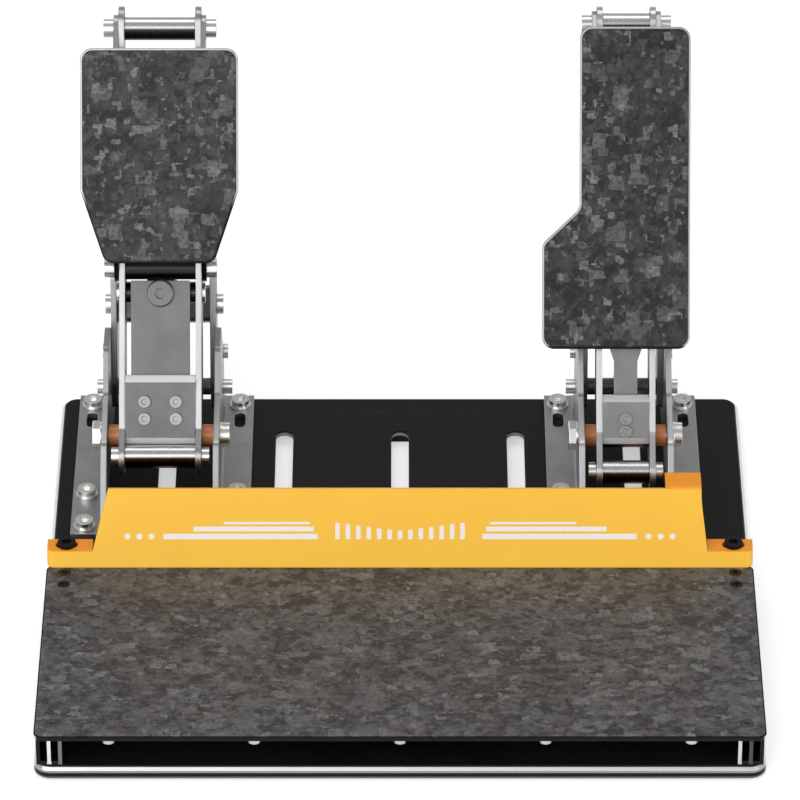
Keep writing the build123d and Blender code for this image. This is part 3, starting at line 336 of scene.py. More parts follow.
def build_brush():
    """Fine parallel lines along one way, for drawn and brushed metal."""
    group, into, out = effect(
        "brush lines",
        [("Across", 3500.0), ("Along", 60.0), ("Lean", 0.0)],
        [("Height", "NodeSocketFloat")],
    )
    lean = add(group, "ShaderNodeVectorRotate", rotation_type="X_AXIS")
    group.links.new(here(group), lean.inputs["Vector"])
    group.links.new(into.outputs["Lean"], lean.inputs["Angle"])
    sizes = add(group, "ShaderNodeCombineXYZ")
    group.links.new(into.outputs["Across"], sizes.inputs[0])
    group.links.new(into.outputs["Across"], sizes.inputs[1])
    group.links.new(into.outputs["Along"], sizes.inputs[2])
    stretched = vectors(group, "MULTIPLY", lean.outputs[0], sizes.outputs[0]).outputs[0]
    lines = noise(group, stretched, scale=1.0, detail=2.0, roughness=0.6)
    group.links.new(lines.outputs[0], out.inputs["Height"])
    return group


def build_handling():
    """Wide faint smears and dust that hands, shoes and shelves leave."""
    group, into, out = effect(
        "handling",
        [("Scale", 18.0), ("Dust", 0.3)],
        [("Smears", "NodeSocketFloat"), ("Dust", "NodeSocketFloat")],
    )
    place = here(group)
    wide = noise(group, place, scale=into.outputs["Scale"], detail=5.0, roughness=0.65).outputs[0]
    normal = add(group, "ShaderNodeNewGeometry").outputs["Normal"]
    lying = spread(group, parts_of(group, normal)[2], 0.3, 0.95)
    specks = noise(group, place, scale=1400.0, detail=2.0, roughness=0.7).outputs[0]
    dust = both(group, lying, spread(group, specks, 0.5, 0.8), into.outputs["Dust"])
    group.links.new(spread(group, wide, 0.35, 0.7), out.inputs["Smears"])
    group.links.new(dust, out.inputs["Dust"])
    return group


grain = build_grain()
worn_edges = build_worn_edges()
flakes = build_flakes()
brush = build_brush()
handling = build_handling()


# Finishes

black = (0.006, 0.006, 0.0065, 1.0)
black_edge = (0.1, 0.1, 0.105, 1.0)
satin = (0.26, 0.26, 0.265, 1.0)
darker_satin = (0.185, 0.185, 0.188, 1.0)
gas_web_satin = (0.23, 0.23, 0.233, 1.0)
pale_satin = (0.42, 0.42, 0.425, 1.0)
satin_cut = (0.43, 0.43, 0.435, 1.0)
pale_cut = (0.6, 0.6, 0.605, 1.0)
bevel_cut = (0.85, 0.85, 0.855, 1.0)
bright = (0.74, 0.74, 0.75, 1.0)
bright_edge = (0.85, 0.85, 0.86, 1.0)
border = (0.5, 0.5, 0.505, 1.0)
wire_grey = (0.42, 0.42, 0.43, 1.0)
rod_grey = grey(0.62)
zinc = grey(0.82)
soot = (0.04, 0.039, 0.038, 1.0)
# Painted dark reflection on the pad borders
painted_dark_reflection = (0.02, 0.02, 0.022, 1.0)
# Painted reflection and painted shade on the tubes
painted_orange_reflection = (0.1, 0.045, 0.02, 1.0)
painted_tube_shade = (0.03, 0.03, 0.032, 1.0)
mask_green = (0.012, 0.11, 0.04, 1.0)
track_green = (0.03, 0.2, 0.07, 1.0)
orange = (1.0, 0.555, 0.042, 1.0)
orange_shade = (0.975, 0.53, 0.038, 1.0)
painted_shade_orange = (1.0, 0.345, 0.014, 1.0)
orange_dust = (0.9, 0.7, 0.45, 1.0)
orange_edge = (0.95, 0.42, 0.06, 1.0)
bush_orange = (1.0, 0.34, 0.13, 1.0)
thin_ink = (0.84, 0.8, 0.74, 1.0)
full_ink = (0.9, 0.89, 0.87, 1.0)
moulded_black = (0.02, 0.02, 0.022, 1.0)

# Leans and ways of the set at rest, the axle's middle line and the pins of the push rods
rest_lean = math.radians(30.0)
pivot = (0.0, 76.0 * mm, 41.0 * mm)
rod_drop = math.radians(40.6)
toe_lean = math.radians(25.0)
up = (0.0, 0.0, 1.0)
sideways = (1.0, 0.0, 0.0)
along_arm = (0.0, math.sin(rest_lean), math.cos(rest_lean))
out_of_pad = (0.0, -math.cos(rest_lean), math.sin(rest_lean))
out_of_toe = (0.0, -math.cos(toe_lean), math.sin(toe_lean))
# The way the tubes' painted shade faces
under_tubes = (0.0, -0.978, -0.208)
along_rod = (0.0, math.cos(rod_drop), -math.sin(rod_drop))
rod_pins = {
    "brake": (-122.0 * mm, 116.83 * mm, 101.72 * mm),
    "gas": (115.0 * mm, 116.83 * mm, 101.72 * mm),
}


def finish_base(name, **sockets):
    """A new material with its shader's plain values set on the shader."""
    material = bpy.data.materials.new(name)
    material.use_nodes = True
    tree = material.node_tree
    shader = tree.nodes["Principled BSDF"]
    for socket, value in sockets.items():
        shader.inputs[socket.replace("_", " ")].default_value = value
    return material, tree, shader


def bumped(tree, shader, height, edges, strength, distance):
    """Fine relief on the surface, over edges rounded by their effect if there is one."""
    bump = add(tree, "ShaderNodeBump")
    bump.inputs["Strength"].default_value = strength
    bump.inputs["Distance"].default_value = distance
    tree.links.new(height, bump.inputs["Height"])
    if edges is not None:
        tree.links.new(edges.outputs["Rounded"], bump.inputs["Normal"])
    tree.links.new(bump.outputs[0], shader.inputs["Normal"])


def nothing_cut(tree):
    """No bare places."""
    return 0.0


def powder_coat(name, edge_strength, specular, cut=nothing_cut, bare=grey(0.8)):
    """Black baked coat with a fine orange-peel, worn edges, and bare metal where it is cut."""
    material, tree, shader = finish_base(name, Specular_IOR_Level=specular)
    texture = use(tree, grain, Scale=1500.0, Softness=0.45)
    edges = use(tree, worn_edges, Radius=0.7 * mm, Strength=edge_strength, Breakup=0.35)
    hands = use(tree, handling, Scale=22.0, Dust=0.03)
    body = clouded(tree, texture.outputs["Patches"], black, darkest=0.86)
    body = mixed(tree, hands.outputs["Dust"], body, grey(0.5))
    body = mixed(tree, edges.outputs["Mask"], body, black_edge)
    # Bare cut metal, and on the tray and the rails also painted highlights
    bared = cut(tree)
    metal = clouded(tree, texture.outputs["Height"], bare, darkest=0.85)
    feed(tree, shader.inputs["Base Color"], mixed(tree, bared, body, metal))
    feed(tree, shader.inputs["Metallic"], maths(tree, "MULTIPLY", bared, 0.85))
    gloss = graded(tree, hands.outputs["Smears"], none=0.4, full=0.52)
    feed(tree, shader.inputs["Roughness"], maths(tree, "MULTIPLY_ADD", bared, -0.12, gloss))
    bumped(tree, shader, texture.outputs["Height"], edges, strength=0.25, distance=0.06 * mm)
    return material


# Bands of the tray: the bare bevel first, then two painted highlights on the rim. Each gives the
# normal's Z, highest and lowest, then the lower and upper height and their softness in
# millimetres, and the strength.
tray_bevel_and_highlight_bands = (
    (0.9, 0.45, 5.8, 7.35, 0.1, 1.0),
    (0.3, -0.9, 4.7, 6.4, 0.15, 0.42),
    (0.3, -0.9, 0.8, 2.6, 0.15, 0.2),
)

# Spans over which other finishes change: distances from the middle on the rails, heights on the
# cheeks, the tubes and the mat's heads, the mat's depth, and the radius in the rods' threads.
rail_web = (168.2 * mm, 170.3 * mm)
rail_wall = (162.8 * mm, 164.9 * mm)
foot_bend_top = (11.2 * mm, 11.6 * mm)
# Heights of the brake's low spacer, painted dark as the pad's shadow, and where the tubes' painted
# orange reflection turns to painted shade
low_spacer = (104.0 * mm, 124.0 * mm)
above_toe_stop = (58.0 * mm, 62.0 * mm)
mat_top = (25.0 * mm, 25.2 * mm)
mat_middle = (-100.0 * mm, -90.0 * mm)
# Radii across which the painted shade in the threads' grooves fades out
thread_groove = (3.6 * mm, 3.92 * mm)


def tray_bevel_and_painted_highlights(tree):
    """The bare bevel round the tray's top, and painted highlights as paler bands under it and
    along the rim's foot.
    """
    height = parts_of(tree, here(tree))[2]
    slope = parts_of(tree, add(tree, "ShaderNodeTexCoord").outputs["Normal"])[2]
    bands = []
    for flattest, steepest, low, high, soft, strength in tray_bevel_and_highlight_bands:
        sloping = between(tree, slope, steepest, flattest, soft=0.05)
        band = between(tree, height, low * mm, high * mm, soft=soft * mm)
        bands.append(both(tree, sloping, band, strength))
    return any_of(tree, *bands)


def heel_cut(tree):
    """The sheared side edges of the heel plate."""
    return maths(tree, "MULTIPLY", facing(tree, sideways, 0.6, 0.8, back_too=True), 0.9)


def rail_cut_and_painted_highlights(tree):
    """The sawn front ends, bare, with painted highlights: a middle web, bright on the left, and a
    wall, bright on the right.
    """
    across = parts_of(tree, here(tree))[0]
    aside = maths(tree, "ABSOLUTE", across)
    on_right = spread(tree, across, -mm, mm)
    end = facing(tree, (0.0, -1.0, 0.0), 0.9, 0.97)
    web = between(tree, aside, *rail_web, soft=0.1 * mm)
    wall = between(tree, aside, *rail_wall, soft=0.1 * mm)
    # Painted highlight: the web shows bright on the left rail, and the wall on the right one
    web = both(tree, web, graded(tree, on_right, none=1.0, full=0.1))
    wall = both(tree, wall, graded(tree, on_right, none=0.25, full=0.85))
    return both(tree, end, any_of(tree, web, wall))


# Dark, light, cool light and bright chips of the two pressed sheets
sheet_tones = {
    "pressed fibre pad": (grey(0.002), grey(0.042), grey(0.03), grey(0.215)),
    "pressed fibre mat": (
        (0.033, 0.03, 0.0295, 1.0),
        (0.12, 0.112, 0.109, 1.0),
        (0.111, 0.11, 0.11, 1.0),
        (0.24, 0.235, 0.23, 1.0),
    ),
}


def pressed_sheet(name, chips_per_metre, stretch, lean, bright_share):
    """Dark sheet of pressed fibre chips under a thin clear coat."""
    material, tree, shader = finish_base(
        name, Coat_Roughness=0.25, Specular_IOR_Level=0.35, Coat_IOR=1.5
    )
    dark, light, cooler, chip = sheet_tones[name]
    sheet = use(tree, flakes, Chips_per_metre=chips_per_metre, Stretch=stretch, Lean=lean)
    edges = use(tree, worn_edges, Radius=1.1 * mm, Strength=0.8, Breakup=0.15)
    hands = use(tree, handling, Scale=30.0, Dust=0.05)
    tone = spread(tree, sheet.outputs["Tone"], 0.28, 0.78)
    warmth = noise(tree, here(tree), scale=75.0, detail=2.0, roughness=0.5).outputs[0]
    light = mixed(tree, spread(tree, warmth, 0.4, 0.6), cooler, light)
    body = mixed(tree, tone, dark, light)
    lit = maths(tree, "MULTIPLY", sheet.outputs["Bright chips"], bright_share)
    body = mixed(tree, lit, body, chip)
    body = mixed(tree, hands.outputs["Dust"], body, grey(0.3))
    body = mixed(tree, edges.outputs["Mask"], body, shaded(dark, 0.5))
    feed(tree, shader.inputs["Base Color"], body)
    feed(tree, shader.inputs["Roughness"], graded(tree, tone, none=0.56, full=0.42))
    coat = graded(tree, hands.outputs["Smears"], none=0.16, full=0.08)
    feed(tree, shader.inputs["Coat Weight"], coat)
    bumped(tree, shader, sheet.outputs["Height"], edges, strength=0.12, distance=0.05 * mm)
    return material


def blasted_metal(name, colour, cut_colour, cut=nothing_cut, cut_metal=1.0):
    """Bead-blasted plate, brighter and smoother where it was cut or bevelled afterwards."""
    material, tree, shader = finish_base(name)
    texture = use(tree, grain, Scale=3200.0, Softness=0.7)
    edges = use(tree, worn_edges, Radius=0.6 * mm, Strength=0.7, Breakup=0.25)
    hands = use(tree, handling, Scale=26.0, Dust=0.04)
    body = clouded(tree, texture.outputs["Patches"], colour, darkest=0.86, low=0.35, high=0.65)
    bared = any_of(tree, edges.outputs["Mask"], cut(tree))
    feed(tree, shader.inputs["Base Color"], mixed(tree, bared, body, cut_colour))
    feed(tree, shader.inputs["Metallic"], graded(tree, bared, none=1.0, full=cut_metal))
    gloss = graded(tree, hands.outputs["Smears"], none=0.39, full=0.52)
    feed(tree, shader.inputs["Roughness"], maths(tree, "MULTIPLY_ADD", bared, -0.12, gloss))
    bumped(tree, shader, texture.outputs["Height"], edges, strength=0.2, distance=0.03 * mm)
    return material


def sheared_edges(tree):
    """Every face of a side plate but its two flat sides."""
    return facing(tree, sideways, 0.7, 0.5, back_too=True)


def cheek_edges(tree):
    """The edges of an upright cheek, but not of the foot it stands on."""
    height = parts_of(tree, here(tree))[2]
    return both(tree, sheared_edges(tree), spread(tree, height, *foot_bend_top))


def block_bevels(tree):
    """The bevels across a block's upper and lower ends."""
    return facing(tree, along_arm, 0.35, 0.6, back_too=True)


def no_painted_shade(tree):
    """No painted shade, and its tone."""
    return 0.0, grey(0.0)


def tube_painted_shade(tree):
    """Painted shade: tubes are darkened below, with a painted orange reflection of the toe stop
    low down. The brake's low pad spacer is painted all dark as the pad's shadow.
    """
    below = facing(tree, under_tubes, 0.62, 0.8)
    height = parts_of(tree, here(tree))[2]
    spacer = between(tree, height, *low_spacer, soft=0.5 * mm)
    tone = mixed(tree, spread(tree, height, *above_toe_stop), painted_orange_reflection, painted_tube_shade)
    return any_of(tree, below, spacer), tone


def pad_foot_painted_reflection(low, width):
    """Painted reflection: the border round a pad's face is darkened towards its foot, up to a
    reach along the arm, standing in for dark surroundings reflected there.
    """
    def dark(tree):
        place = vectors(tree, "SUBTRACT", here(tree), pivot).outputs[0]
        reach = vectors(tree, "DOT_PRODUCT", place, along_arm).outputs["Value"]
        foot = falling(tree, reach, low, low + width)
        return both(tree, foot, facing(tree, out_of_pad, -0.3, 0.1)), painted_dark_reflection
    return dark


def brushed_metal(name, colour, edge_colour, rough, lean, along=60.0, dark=no_painted_shade):
    """Metal with fine lines along its length, with painted shade and painted reflection where the
    dark hook puts them, in their tone.
    """
    material, tree, shader = finish_base(name, Metallic=1.0)
    lines = use(tree, brush, Across=4200.0, Along=along, Lean=lean)
    edges = use(tree, worn_edges, Radius=0.5 * mm, Strength=0.8, Breakup=0.2)
    hands = use(tree, handling, Scale=30.0, Dust=0.03)
    body = clouded(tree, lines.outputs["Height"], colour, darkest=0.82)
    body = mixed(tree, edges.outputs["Mask"], body, edge_colour)
    # Painted shade and painted reflection, where the hook puts them
    place, tone = dark(tree)
    feed(tree, shader.inputs["Base Color"], mixed(tree, place, body, tone))
    streaks = spread(tree, lines.outputs["Height"], 0.2, 0.8, rough - 0.07, rough + 0.07)
    smears = maths(tree, "MULTIPLY", hands.outputs["Smears"], 0.05)
    feed(tree, shader.inputs["Roughness"], maths(tree, "ADD", streaks, smears))
    bumped(tree, shader, lines.outputs["Height"], edges, strength=0.15, distance=0.02 * mm)
    return material


warm_tint = (1.03, 0.99, 0.92)


def plated_steel(name, colour, rough, sooty=None):
    """Plate or oxide on small fasteners, clouded a little, and blackened where sooty is one."""
    material, tree, shader = finish_base(name, Metallic=1.0)
    texture = use(tree, grain, Scale=2600.0, Softness=0.6)
    edges = use(tree, worn_edges, Radius=0.35 * mm, Strength=0.6, Breakup=0.3)
    cloud = noise(tree, here(tree), scale=420.0, detail=3.0, roughness=0.6).outputs[0]
    warm = tuple(part * share for part, share in zip(colour, warm_tint)) + (1.0,)
    body = mixed(tree, spread(tree, cloud, 0.35, 0.65), colour, warm)
    body = mixed(tree, edges.outputs["Mask"], body, shaded(colour, 1.3))
    if sooty is not None:
        body = mixed(tree, sooty(tree), body, soot)
    feed(tree, shader.inputs["Base Color"], body)
    gloss = spread(tree, texture.outputs["Patches"], 0.3, 0.7, rough - 0.05, rough + 0.06)
    feed(tree, shader.inputs["Roughness"], gloss)
    bumped(tree, shader, texture.outputs["Height"], edges, strength=0.12, distance=0.02 * mm)
    return material


def heel_heads(tree):
    """The heads in the mat, blackest at the rear, without the fasteners under its front edge."""
    _, depth, height = parts_of(tree, here(tree))
    blackness = spread(tree, depth, *mat_middle, to_low=0.8, to_high=1.0)
    return both(tree, spread(tree, height, *mat_top), blackness)


def rod_steel(name, colour, pin):
    """Plated rod and nut, with painted shade between the turns of the thread."""
    material, tree, shader = finish_base(name, Metallic=1.0)
    place = vectors(tree, "SUBTRACT", here(tree), pin).outputs[0]
    reach = vectors(tree, "DOT_PRODUCT", place, along_rod).outputs["Value"]
    on_axis = vectors(tree, "SCALE", along_rod)
    tree.links.new(reach, on_axis.inputs["Scale"])
    aside = vectors(tree, "SUBTRACT", place, on_axis.outputs[0]).outputs[0]
    radius = vectors(tree, "LENGTH", aside).outputs["Value"]
    groove = falling(tree, radius, *thread_groove)
    texture = use(tree, grain, Scale=2600.0, Softness=0.6)
    edges = use(tree, worn_edges, Radius=0.35 * mm, Strength=0.5, Breakup=0.3)
    body = clouded(tree, texture.outputs["Patches"], colour, darkest=0.9, low=0.35, high=0.65)
    # Painted shade in the grooves between the turns
    body = mixed(tree, groove, body, shaded(colour, 0.3))
    body = mixed(tree, edges.outputs["Mask"], body, shaded(colour, 1.25))
    feed(tree, shader.inputs["Base Color"], body)
    feed(tree, shader.inputs["Roughness"], graded(tree, groove, none=0.26, full=0.5))
    bumped(tree, shader, texture.outputs["Height"], edges, strength=0.12, distance=0.02 * mm)
    return material


def moulded(name, colour, rough, grain_scale, specular=0.4):
    """Moulded plastic or rubber with a spark-eroded grain."""
    material, tree, shader = finish_base(name, Specular_IOR_Level=specular)
    texture = use(tree, grain, Scale=grain_scale, Softness=0.6)
    edges = use(tree, worn_edges, Radius=0.4 * mm, Strength=0.25, Breakup=0.4)
    hands = use(tree, handling, Scale=24.0, Dust=0.1)
    pale = tuple(min(part * 1.6 + 0.03, 1.0) for part in colour[:3]) + (1.0,)
    body = clouded(tree, texture.outputs["Patches"], colour, darkest=0.85)
    body = mixed(tree, hands.outputs["Dust"], body, pale)
    feed(tree, shader.inputs["Base Color"], mixed(tree, edges.outputs["Mask"], body, pale))
    gloss = graded(tree, hands.outputs["Smears"], none=rough - 0.05, full=rough + 0.06)
    feed(tree, shader.inputs["Roughness"], gloss)
    bumped(tree, shader, texture.outputs["Height"], edges, strength=0.35, distance=0.05 * mm)
    return material


def circuit_board():
    """Green solder mask with tracks under it, and black tops of the parts on it."""
    material, tree, shader = finish_base("circuit board", Specular_IOR_Level=0.5)
    place = here(tree)
    tracks = chips(tree, place, 520.0, "MANHATTAN")
    lines = spread(tree, tracks.outputs["Distance"], 0.42, 0.5)
    green = mixed(tree, lines, mask_green, track_green)
    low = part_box("controller_board")[1][2] - 1.0 * mm
    part_tops = spread(tree, parts_of(tree, place)[2], low, low + 0.1 * mm)
    feed(tree, shader.inputs["Base Color"], mixed(tree, part_tops, green, moulded_black))
    feed(tree, shader.inputs["Roughness"], graded(tree, lines, none=0.4, full=0.3))
    bumped(tree, shader, lines, None, strength=0.3, distance=0.04 * mm)
    return material


# Toe stop: a printed band of ticks, stripes and dots on its leaning face, mirrored about the
# middle. Each stripe has its lower and upper edge, and its start and stop to either side.

face_foot = 27.2 * mm
print_foot = 14.4 * mm
ink_edge = 0.12 * mm
tick_step = 5.2 * mm
tick_half = 1.1 * mm
tick_row_half = 34.0 * mm
tick_top = 18.6 * mm
tick_slope = 0.13
dot_height = 15.8 * mm
dot_radius = 1.5 * mm
dot_places = (124.0 * mm, 130.0 * mm, 136.0 * mm)
stripes = (
    (14.4 * mm, 17.2 * mm, 41.0 * mm, 118.0 * mm),
    (18.4 * mm, 20.8 * mm, 43.0 * mm, 103.0 * mm),
    (22.0 * mm, 23.2 * mm, 45.0 * mm, 88.0 * mm),
)


def past(tree, value, line):
    """One beyond a line, with the ink's soft edge."""
    return spread(tree, value, line - ink_edge, line + ink_edge)


def tick_print(tree, aside, up_face):
    """A row of ticks that grow longer away from the middle."""
    half = tick_step / 2
    phase = maths(tree, "PINGPONG", maths(tree, "ADD", aside, half), half)
    top = maths(tree, "MULTIPLY_ADD", aside, tick_slope, tick_top)
    below_top = past(tree, maths(tree, "SUBTRACT", top, up_face), 0.0)
    in_row = falling(tree, aside, tick_row_half, tick_row_half + 0.1 * mm)
    above_foot = past(tree, up_face, print_foot)
    return both(tree, past(tree, phase, half - tick_half), below_top, above_foot, in_row)


def dot_print(tree, aside, up_face, middle):
    """A round dot."""
    side = maths(tree, "SUBTRACT", aside, middle)
    rise = maths(tree, "SUBTRACT", up_face, dot_height)
    squares = maths(tree, "MULTIPLY_ADD", side, side, maths(tree, "MULTIPLY", rise, rise))
    far = maths(tree, "SQRT", squares)
    return falling(tree, far, dot_radius - ink_edge, dot_radius + ink_edge)


def band_print(tree):
    """Mask of the printed band, by distances across the face and up it from its foot."""
    across, _, height = parts_of(tree, here(tree))
    aside = maths(tree, "ABSOLUTE", across)
    rise = maths(tree, "SUBTRACT", height, face_foot)
    up_face = maths(tree, "DIVIDE", rise, math.cos(toe_lean))
    inked = [tick_print(tree, aside, up_face)]
    for low, high, start, stop in stripes:
        row = between(tree, up_face, low, high, soft=ink_edge)
        inked.append(both(tree, row, between(tree, aside, start, stop, soft=ink_edge)))
    for middle in dot_places:
        inked.append(dot_print(tree, aside, up_face, middle))
    return both(tree, any_of(tree, *inked), facing(tree, out_of_toe, 0.97, 0.99))


def printed_orange():
    """Orange powder coat, with painted shade making level and side faces deeper orange, and the
    white band printed on the face.
    """
    material, tree, shader = finish_base("printed orange coat", Specular_IOR_Level=0.4)
    texture = use(tree, grain, Scale=1500.0, Softness=0.45)
    edges = use(tree, worn_edges, Radius=0.6 * mm, Strength=0.35, Breakup=0.35)
    hands = use(tree, handling, Scale=22.0, Dust=0.04)
    shade = spread(tree, texture.outputs["Patches"], 0.3, 0.7)
    body = mixed(tree, shade, orange_shade, orange)
    # Painted shade: level and side faces turn deeper orange
    body = mixed(tree, facing(tree, up, 0.75, 0.95), body, painted_shade_orange)
    body = mixed(tree, facing(tree, sideways, 0.75, 0.95, back_too=True), body, painted_shade_orange)
    body = mixed(tree, hands.outputs["Dust"], body, orange_dust)
    body = mixed(tree, edges.outputs["Mask"], body, orange_edge)
    ink_grain = spread(tree, texture.outputs["Height"], 0.3, 0.62)
    ink = mixed(tree, ink_grain, thin_ink, full_ink)
    printed = band_print(tree)
    feed(tree, shader.inputs["Base Color"], mixed(tree, printed, body, ink))
    gloss = graded(tree, hands.outputs["Smears"], none=0.36, full=0.46)
    feed(tree, shader.inputs["Roughness"], maths(tree, "MULTIPLY_ADD", printed, 0.08, gloss))
    raised = maths(tree, "MULTIPLY_ADD", printed, 0.5, texture.outputs["Height"])
    bumped(tree, shader, raised, edges, strength=0.25, distance=0.06 * mm)
    return material


finishes = {
    "black_steel": powder_coat("black powder coat", edge_strength=0.5, specular=0.2),
    "orange_steel": printed_orange(),
    "patterned_sheet": pressed_sheet(
        "pressed fibre pad", chips_per_metre=250.0, stretch=1.0, lean=rest_lean, bright_share=0.85
    ),
    "satin_metal": blasted_metal("blasted plate", satin, satin_cut),
    "bright_metal": brushed_metal(
        "brushed bright metal", bright, bright_edge, rough=0.26, lean=rest_lean
    ),
    "screw_steel": plated_steel("zinc plate", zinc, rough=0.25),
    "black_screw": plated_steel("black oxide", grey(0.02), rough=0.4),
    "spring_steel": brushed_metal(
        "spring wire", wire_grey, grey(0.6), rough=0.3, lean=-rod_drop, along=900.0
    ),
    "orange_bush": moulded("orange bush", bush_orange, rough=0.3, grain_scale=900.0, specular=0.7),
    "black_plastic": moulded("black plastic", moulded_black, rough=0.5, grain_scale=1100.0),
    "black_rubber": moulded(
        "black rubber", grey(0.016), rough=0.75, grain_scale=700.0, specular=0.25
    ),
    "board": circuit_board(),
}

rail = powder_coat("black rail", edge_strength=0.4, specular=0.14, cut=rail_cut_and_painted_highlights)
tube = brushed_metal(
    "turned tube", bright, bright_edge, rough=0.24, lean=rest_lean, dark=tube_painted_shade
)
block_screw = plated_steel("block screws", grey(0.3), rough=0.3)
own_finishes = {
    "base_tray": powder_coat(
        "black tray", edge_strength=0.5, specular=0.14, cut=tray_bevel_and_painted_highlights, bare=grey(0.74)
    ),
    "side_rail_left": rail,
    "side_rail_right": rail,
    "heel_plate": powder_coat("black heel plate", edge_strength=0.15, specular=0.14, cut=heel_cut),
    "heel_skin": pressed_sheet(
        "pressed fibre mat", chips_per_metre=290.0, stretch=0.75, lean=0.0, bright_share=0.8
    ),
    "heel_screws": plated_steel("mat screws", grey(0.5), rough=0.28, sooty=heel_heads),
}
# Per side: the block's colour, the web's colour, the cut colour, and the reach and softness of the
# pad border's painted dark reflection
for side, plain, web, cut, dark_to, dark_soft in (
    ("brake", darker_satin, darker_satin, satin_cut, 118.0 * mm, 8.0 * mm),
    ("gas", satin, gas_web_satin, pale_cut, 46.5 * mm, 0.5 * mm),
):
    side_plate = blasted_metal(side + " side plate", satin, cut, sheared_edges)
    cheek = blasted_metal(side + " bent cheek", pale_satin, cut, cheek_edges)
    foot = pad_foot_painted_reflection(dark_to, dark_soft)
    pad_border = brushed_metal(
        side + " pad border", border, pale_cut, rough=0.3, lean=rest_lean, dark=foot
    )
    for node, finish in (
        ("_arm_left", side_plate),
        ("_arm_right", side_plate),
        ("_risers", side_plate),
        ("_cheek_left", cheek),
        ("_cheek_right", cheek),
        ("_arm_web", blasted_metal(side + " web", web, cut)),
        (
            "_arm_block",
            blasted_metal(
                side + " bevelled block", plain, bevel_cut, block_bevels, cut_metal=0.45
            ),
        ),
        ("_arm_screws", block_screw),
        ("_pad_plate", pad_border),
        ("_arm_sleeves", tube),
        ("_rod", rod_steel(side + " rod", rod_grey, rod_pins[side])),
    ):
        own_finishes[side + node] = finish

for subpart in frame["record"]["subparts"]:
    piece = nodes[subpart["node"]]
    common = finishes[subpart["material_slot"]]
    piece.data.materials.clear()
    piece.data.materials.append(own_finishes.get(subpart["node"], common))


# Springs and threaded rods: wire wound between the seat on the rod and the end block, and rods
# with a thread of real turns and a chamfered lock nut. Reaches are counted from the rod's pin.

spring_start = 10.65 * mm
spring_length = 29.5 * mm
spring_steps = 40
wire_sides = 14
wire_ground_to = 0.55
turns_to_open = 0.3

thread_pitch = 1.25 * mm
thread_root = 3.5 * mm
thread_crest = 3.98 * mm
thread_start = 10.8 * mm
thread_stop = 60.7 * mm
thread_steps = 24
thread_foot_half = 0.5 * mm
thread_crest_half = 0.12 * mm
run_out_turns = 0.5
lowest_run_out = 0.2

# Reaches and radii of the rod inside its thread and of the lock nut, in millimetres
core_rings = ((8.2, 4.0), (10.6, 4.0), (11.1, 3.55), (60.5, 3.55), (60.8, 3.3))
core_sides = 32
nut_rings = (
    (51.8, 6.35),
    (52.05, 6.75),
    (52.3, 7.15),
    (52.55, 7.51),
    (56.05, 7.51),
    (56.3, 7.15),
    (56.55, 6.75),
    (56.8, 6.35),
)
nut_sides = 48
nut_half_flats = 6.5 * mm


def rod_spot(side, x, y, reach):
    """A place beside the rod's axis, at a reach from its pin."""
    axis = Vector(along_rod)
    across = Vector(sideways)
    return Vector(rod_pins[side]) + across * x + axis.cross(across) * y + axis * reach


def closed_tube(made, rings, smooth=True):
    """Adds a tube through rings of places, capped flat at both ends."""
    loops = [[made.verts.new(spot) for spot in ring] for ring in rings]
    for loop, following in zip(loops, loops[1:]):
        for index in range(len(loop)):
            turn_on = (index + 1) % len(loop)
            quad = (loop[index], loop[turn_on], following[turn_on], following[index])
            made.faces.new(quad).smooth = smooth
    made.faces.new(loops[0][::-1])
    made.faces.new(loops[-1])


def dressed(name, made, finish):
    """Puts the mesh into the scene as a piece with its finish."""
    bmesh.ops.recalc_face_normals(made, faces=made.faces)
    mesh = bpy.data.meshes.new(name)
    made.to_mesh(mesh)
    made.free()
    mesh.materials.append(finish)
    piece = bpy.data.objects.new(name, mesh)
    bpy.context.scene.collection.objects.link(piece)
    return piece


def wire_heights(turns, closed, wire, steps):
    """Height of the wire's middle at each step: closed turns at the ends, open ones between."""
    shares = []
    for step in range(steps):
        turn = (step + 0.5) / steps * turns
        into = min(turn, turns - turn)
        shares.append(min(max((into - closed) / turns_to_open + 0.5, 0.0), 1.0))
    tight = wire * 2.0 * turns / steps
    room = spring_length - wire * (2.0 * wire_ground_to) - tight * steps
    heights = [wire * wire_ground_to]
    for share in shares:
        heights.append(heights[-1] + tight + room * share / sum(shares))
    return heights


def wind_spring(side, radius, wire, turns, closed):
    """Spring with closed and ground ends, wound along the push rod towards the end block and
    riding on it.
    """
    steps = int(turns * spring_steps)
    heights = wire_heights(turns, closed, wire, steps)
    rings = []
    for step, height in enumerate(heights):
        angle = step / steps * turns * math.tau
        outward = Vector((math.cos(angle), math.sin(angle), 0.0))
        onward = Vector((-math.sin(angle), math.cos(angle), 0.0))
        onward = onward * radius * turns * math.tau / steps
        before, after = heights[max(step - 1, 0)], heights[min(step + 1, steps)]
        heading = (onward + Vector((0.0, 0.0, (after - before) / 2.0))).normalized()
        beside = heading.cross(outward)
        ring = []
        for index in range(wire_sides):
            bend = index / wire_sides * math.tau
            spot = outward * (radius + math.cos(bend) * wire) + Vector((0.0, 0.0, height))
            spot += beside * math.sin(bend) * wire
            level = spring_start + min(max(spot.z, 0.0), spring_length)
            ring.append(rod_spot(side, spot.x, spot.y, level))
        rings.append(ring)
    wound = bmesh.new()
    closed_tube(wound, rings)
    spring = dressed(side + "_wound_spring", wound, finishes["spring_steel"])
    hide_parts(side + "_spring")
    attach(spring, side + "_push_rod")
    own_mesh(spring)


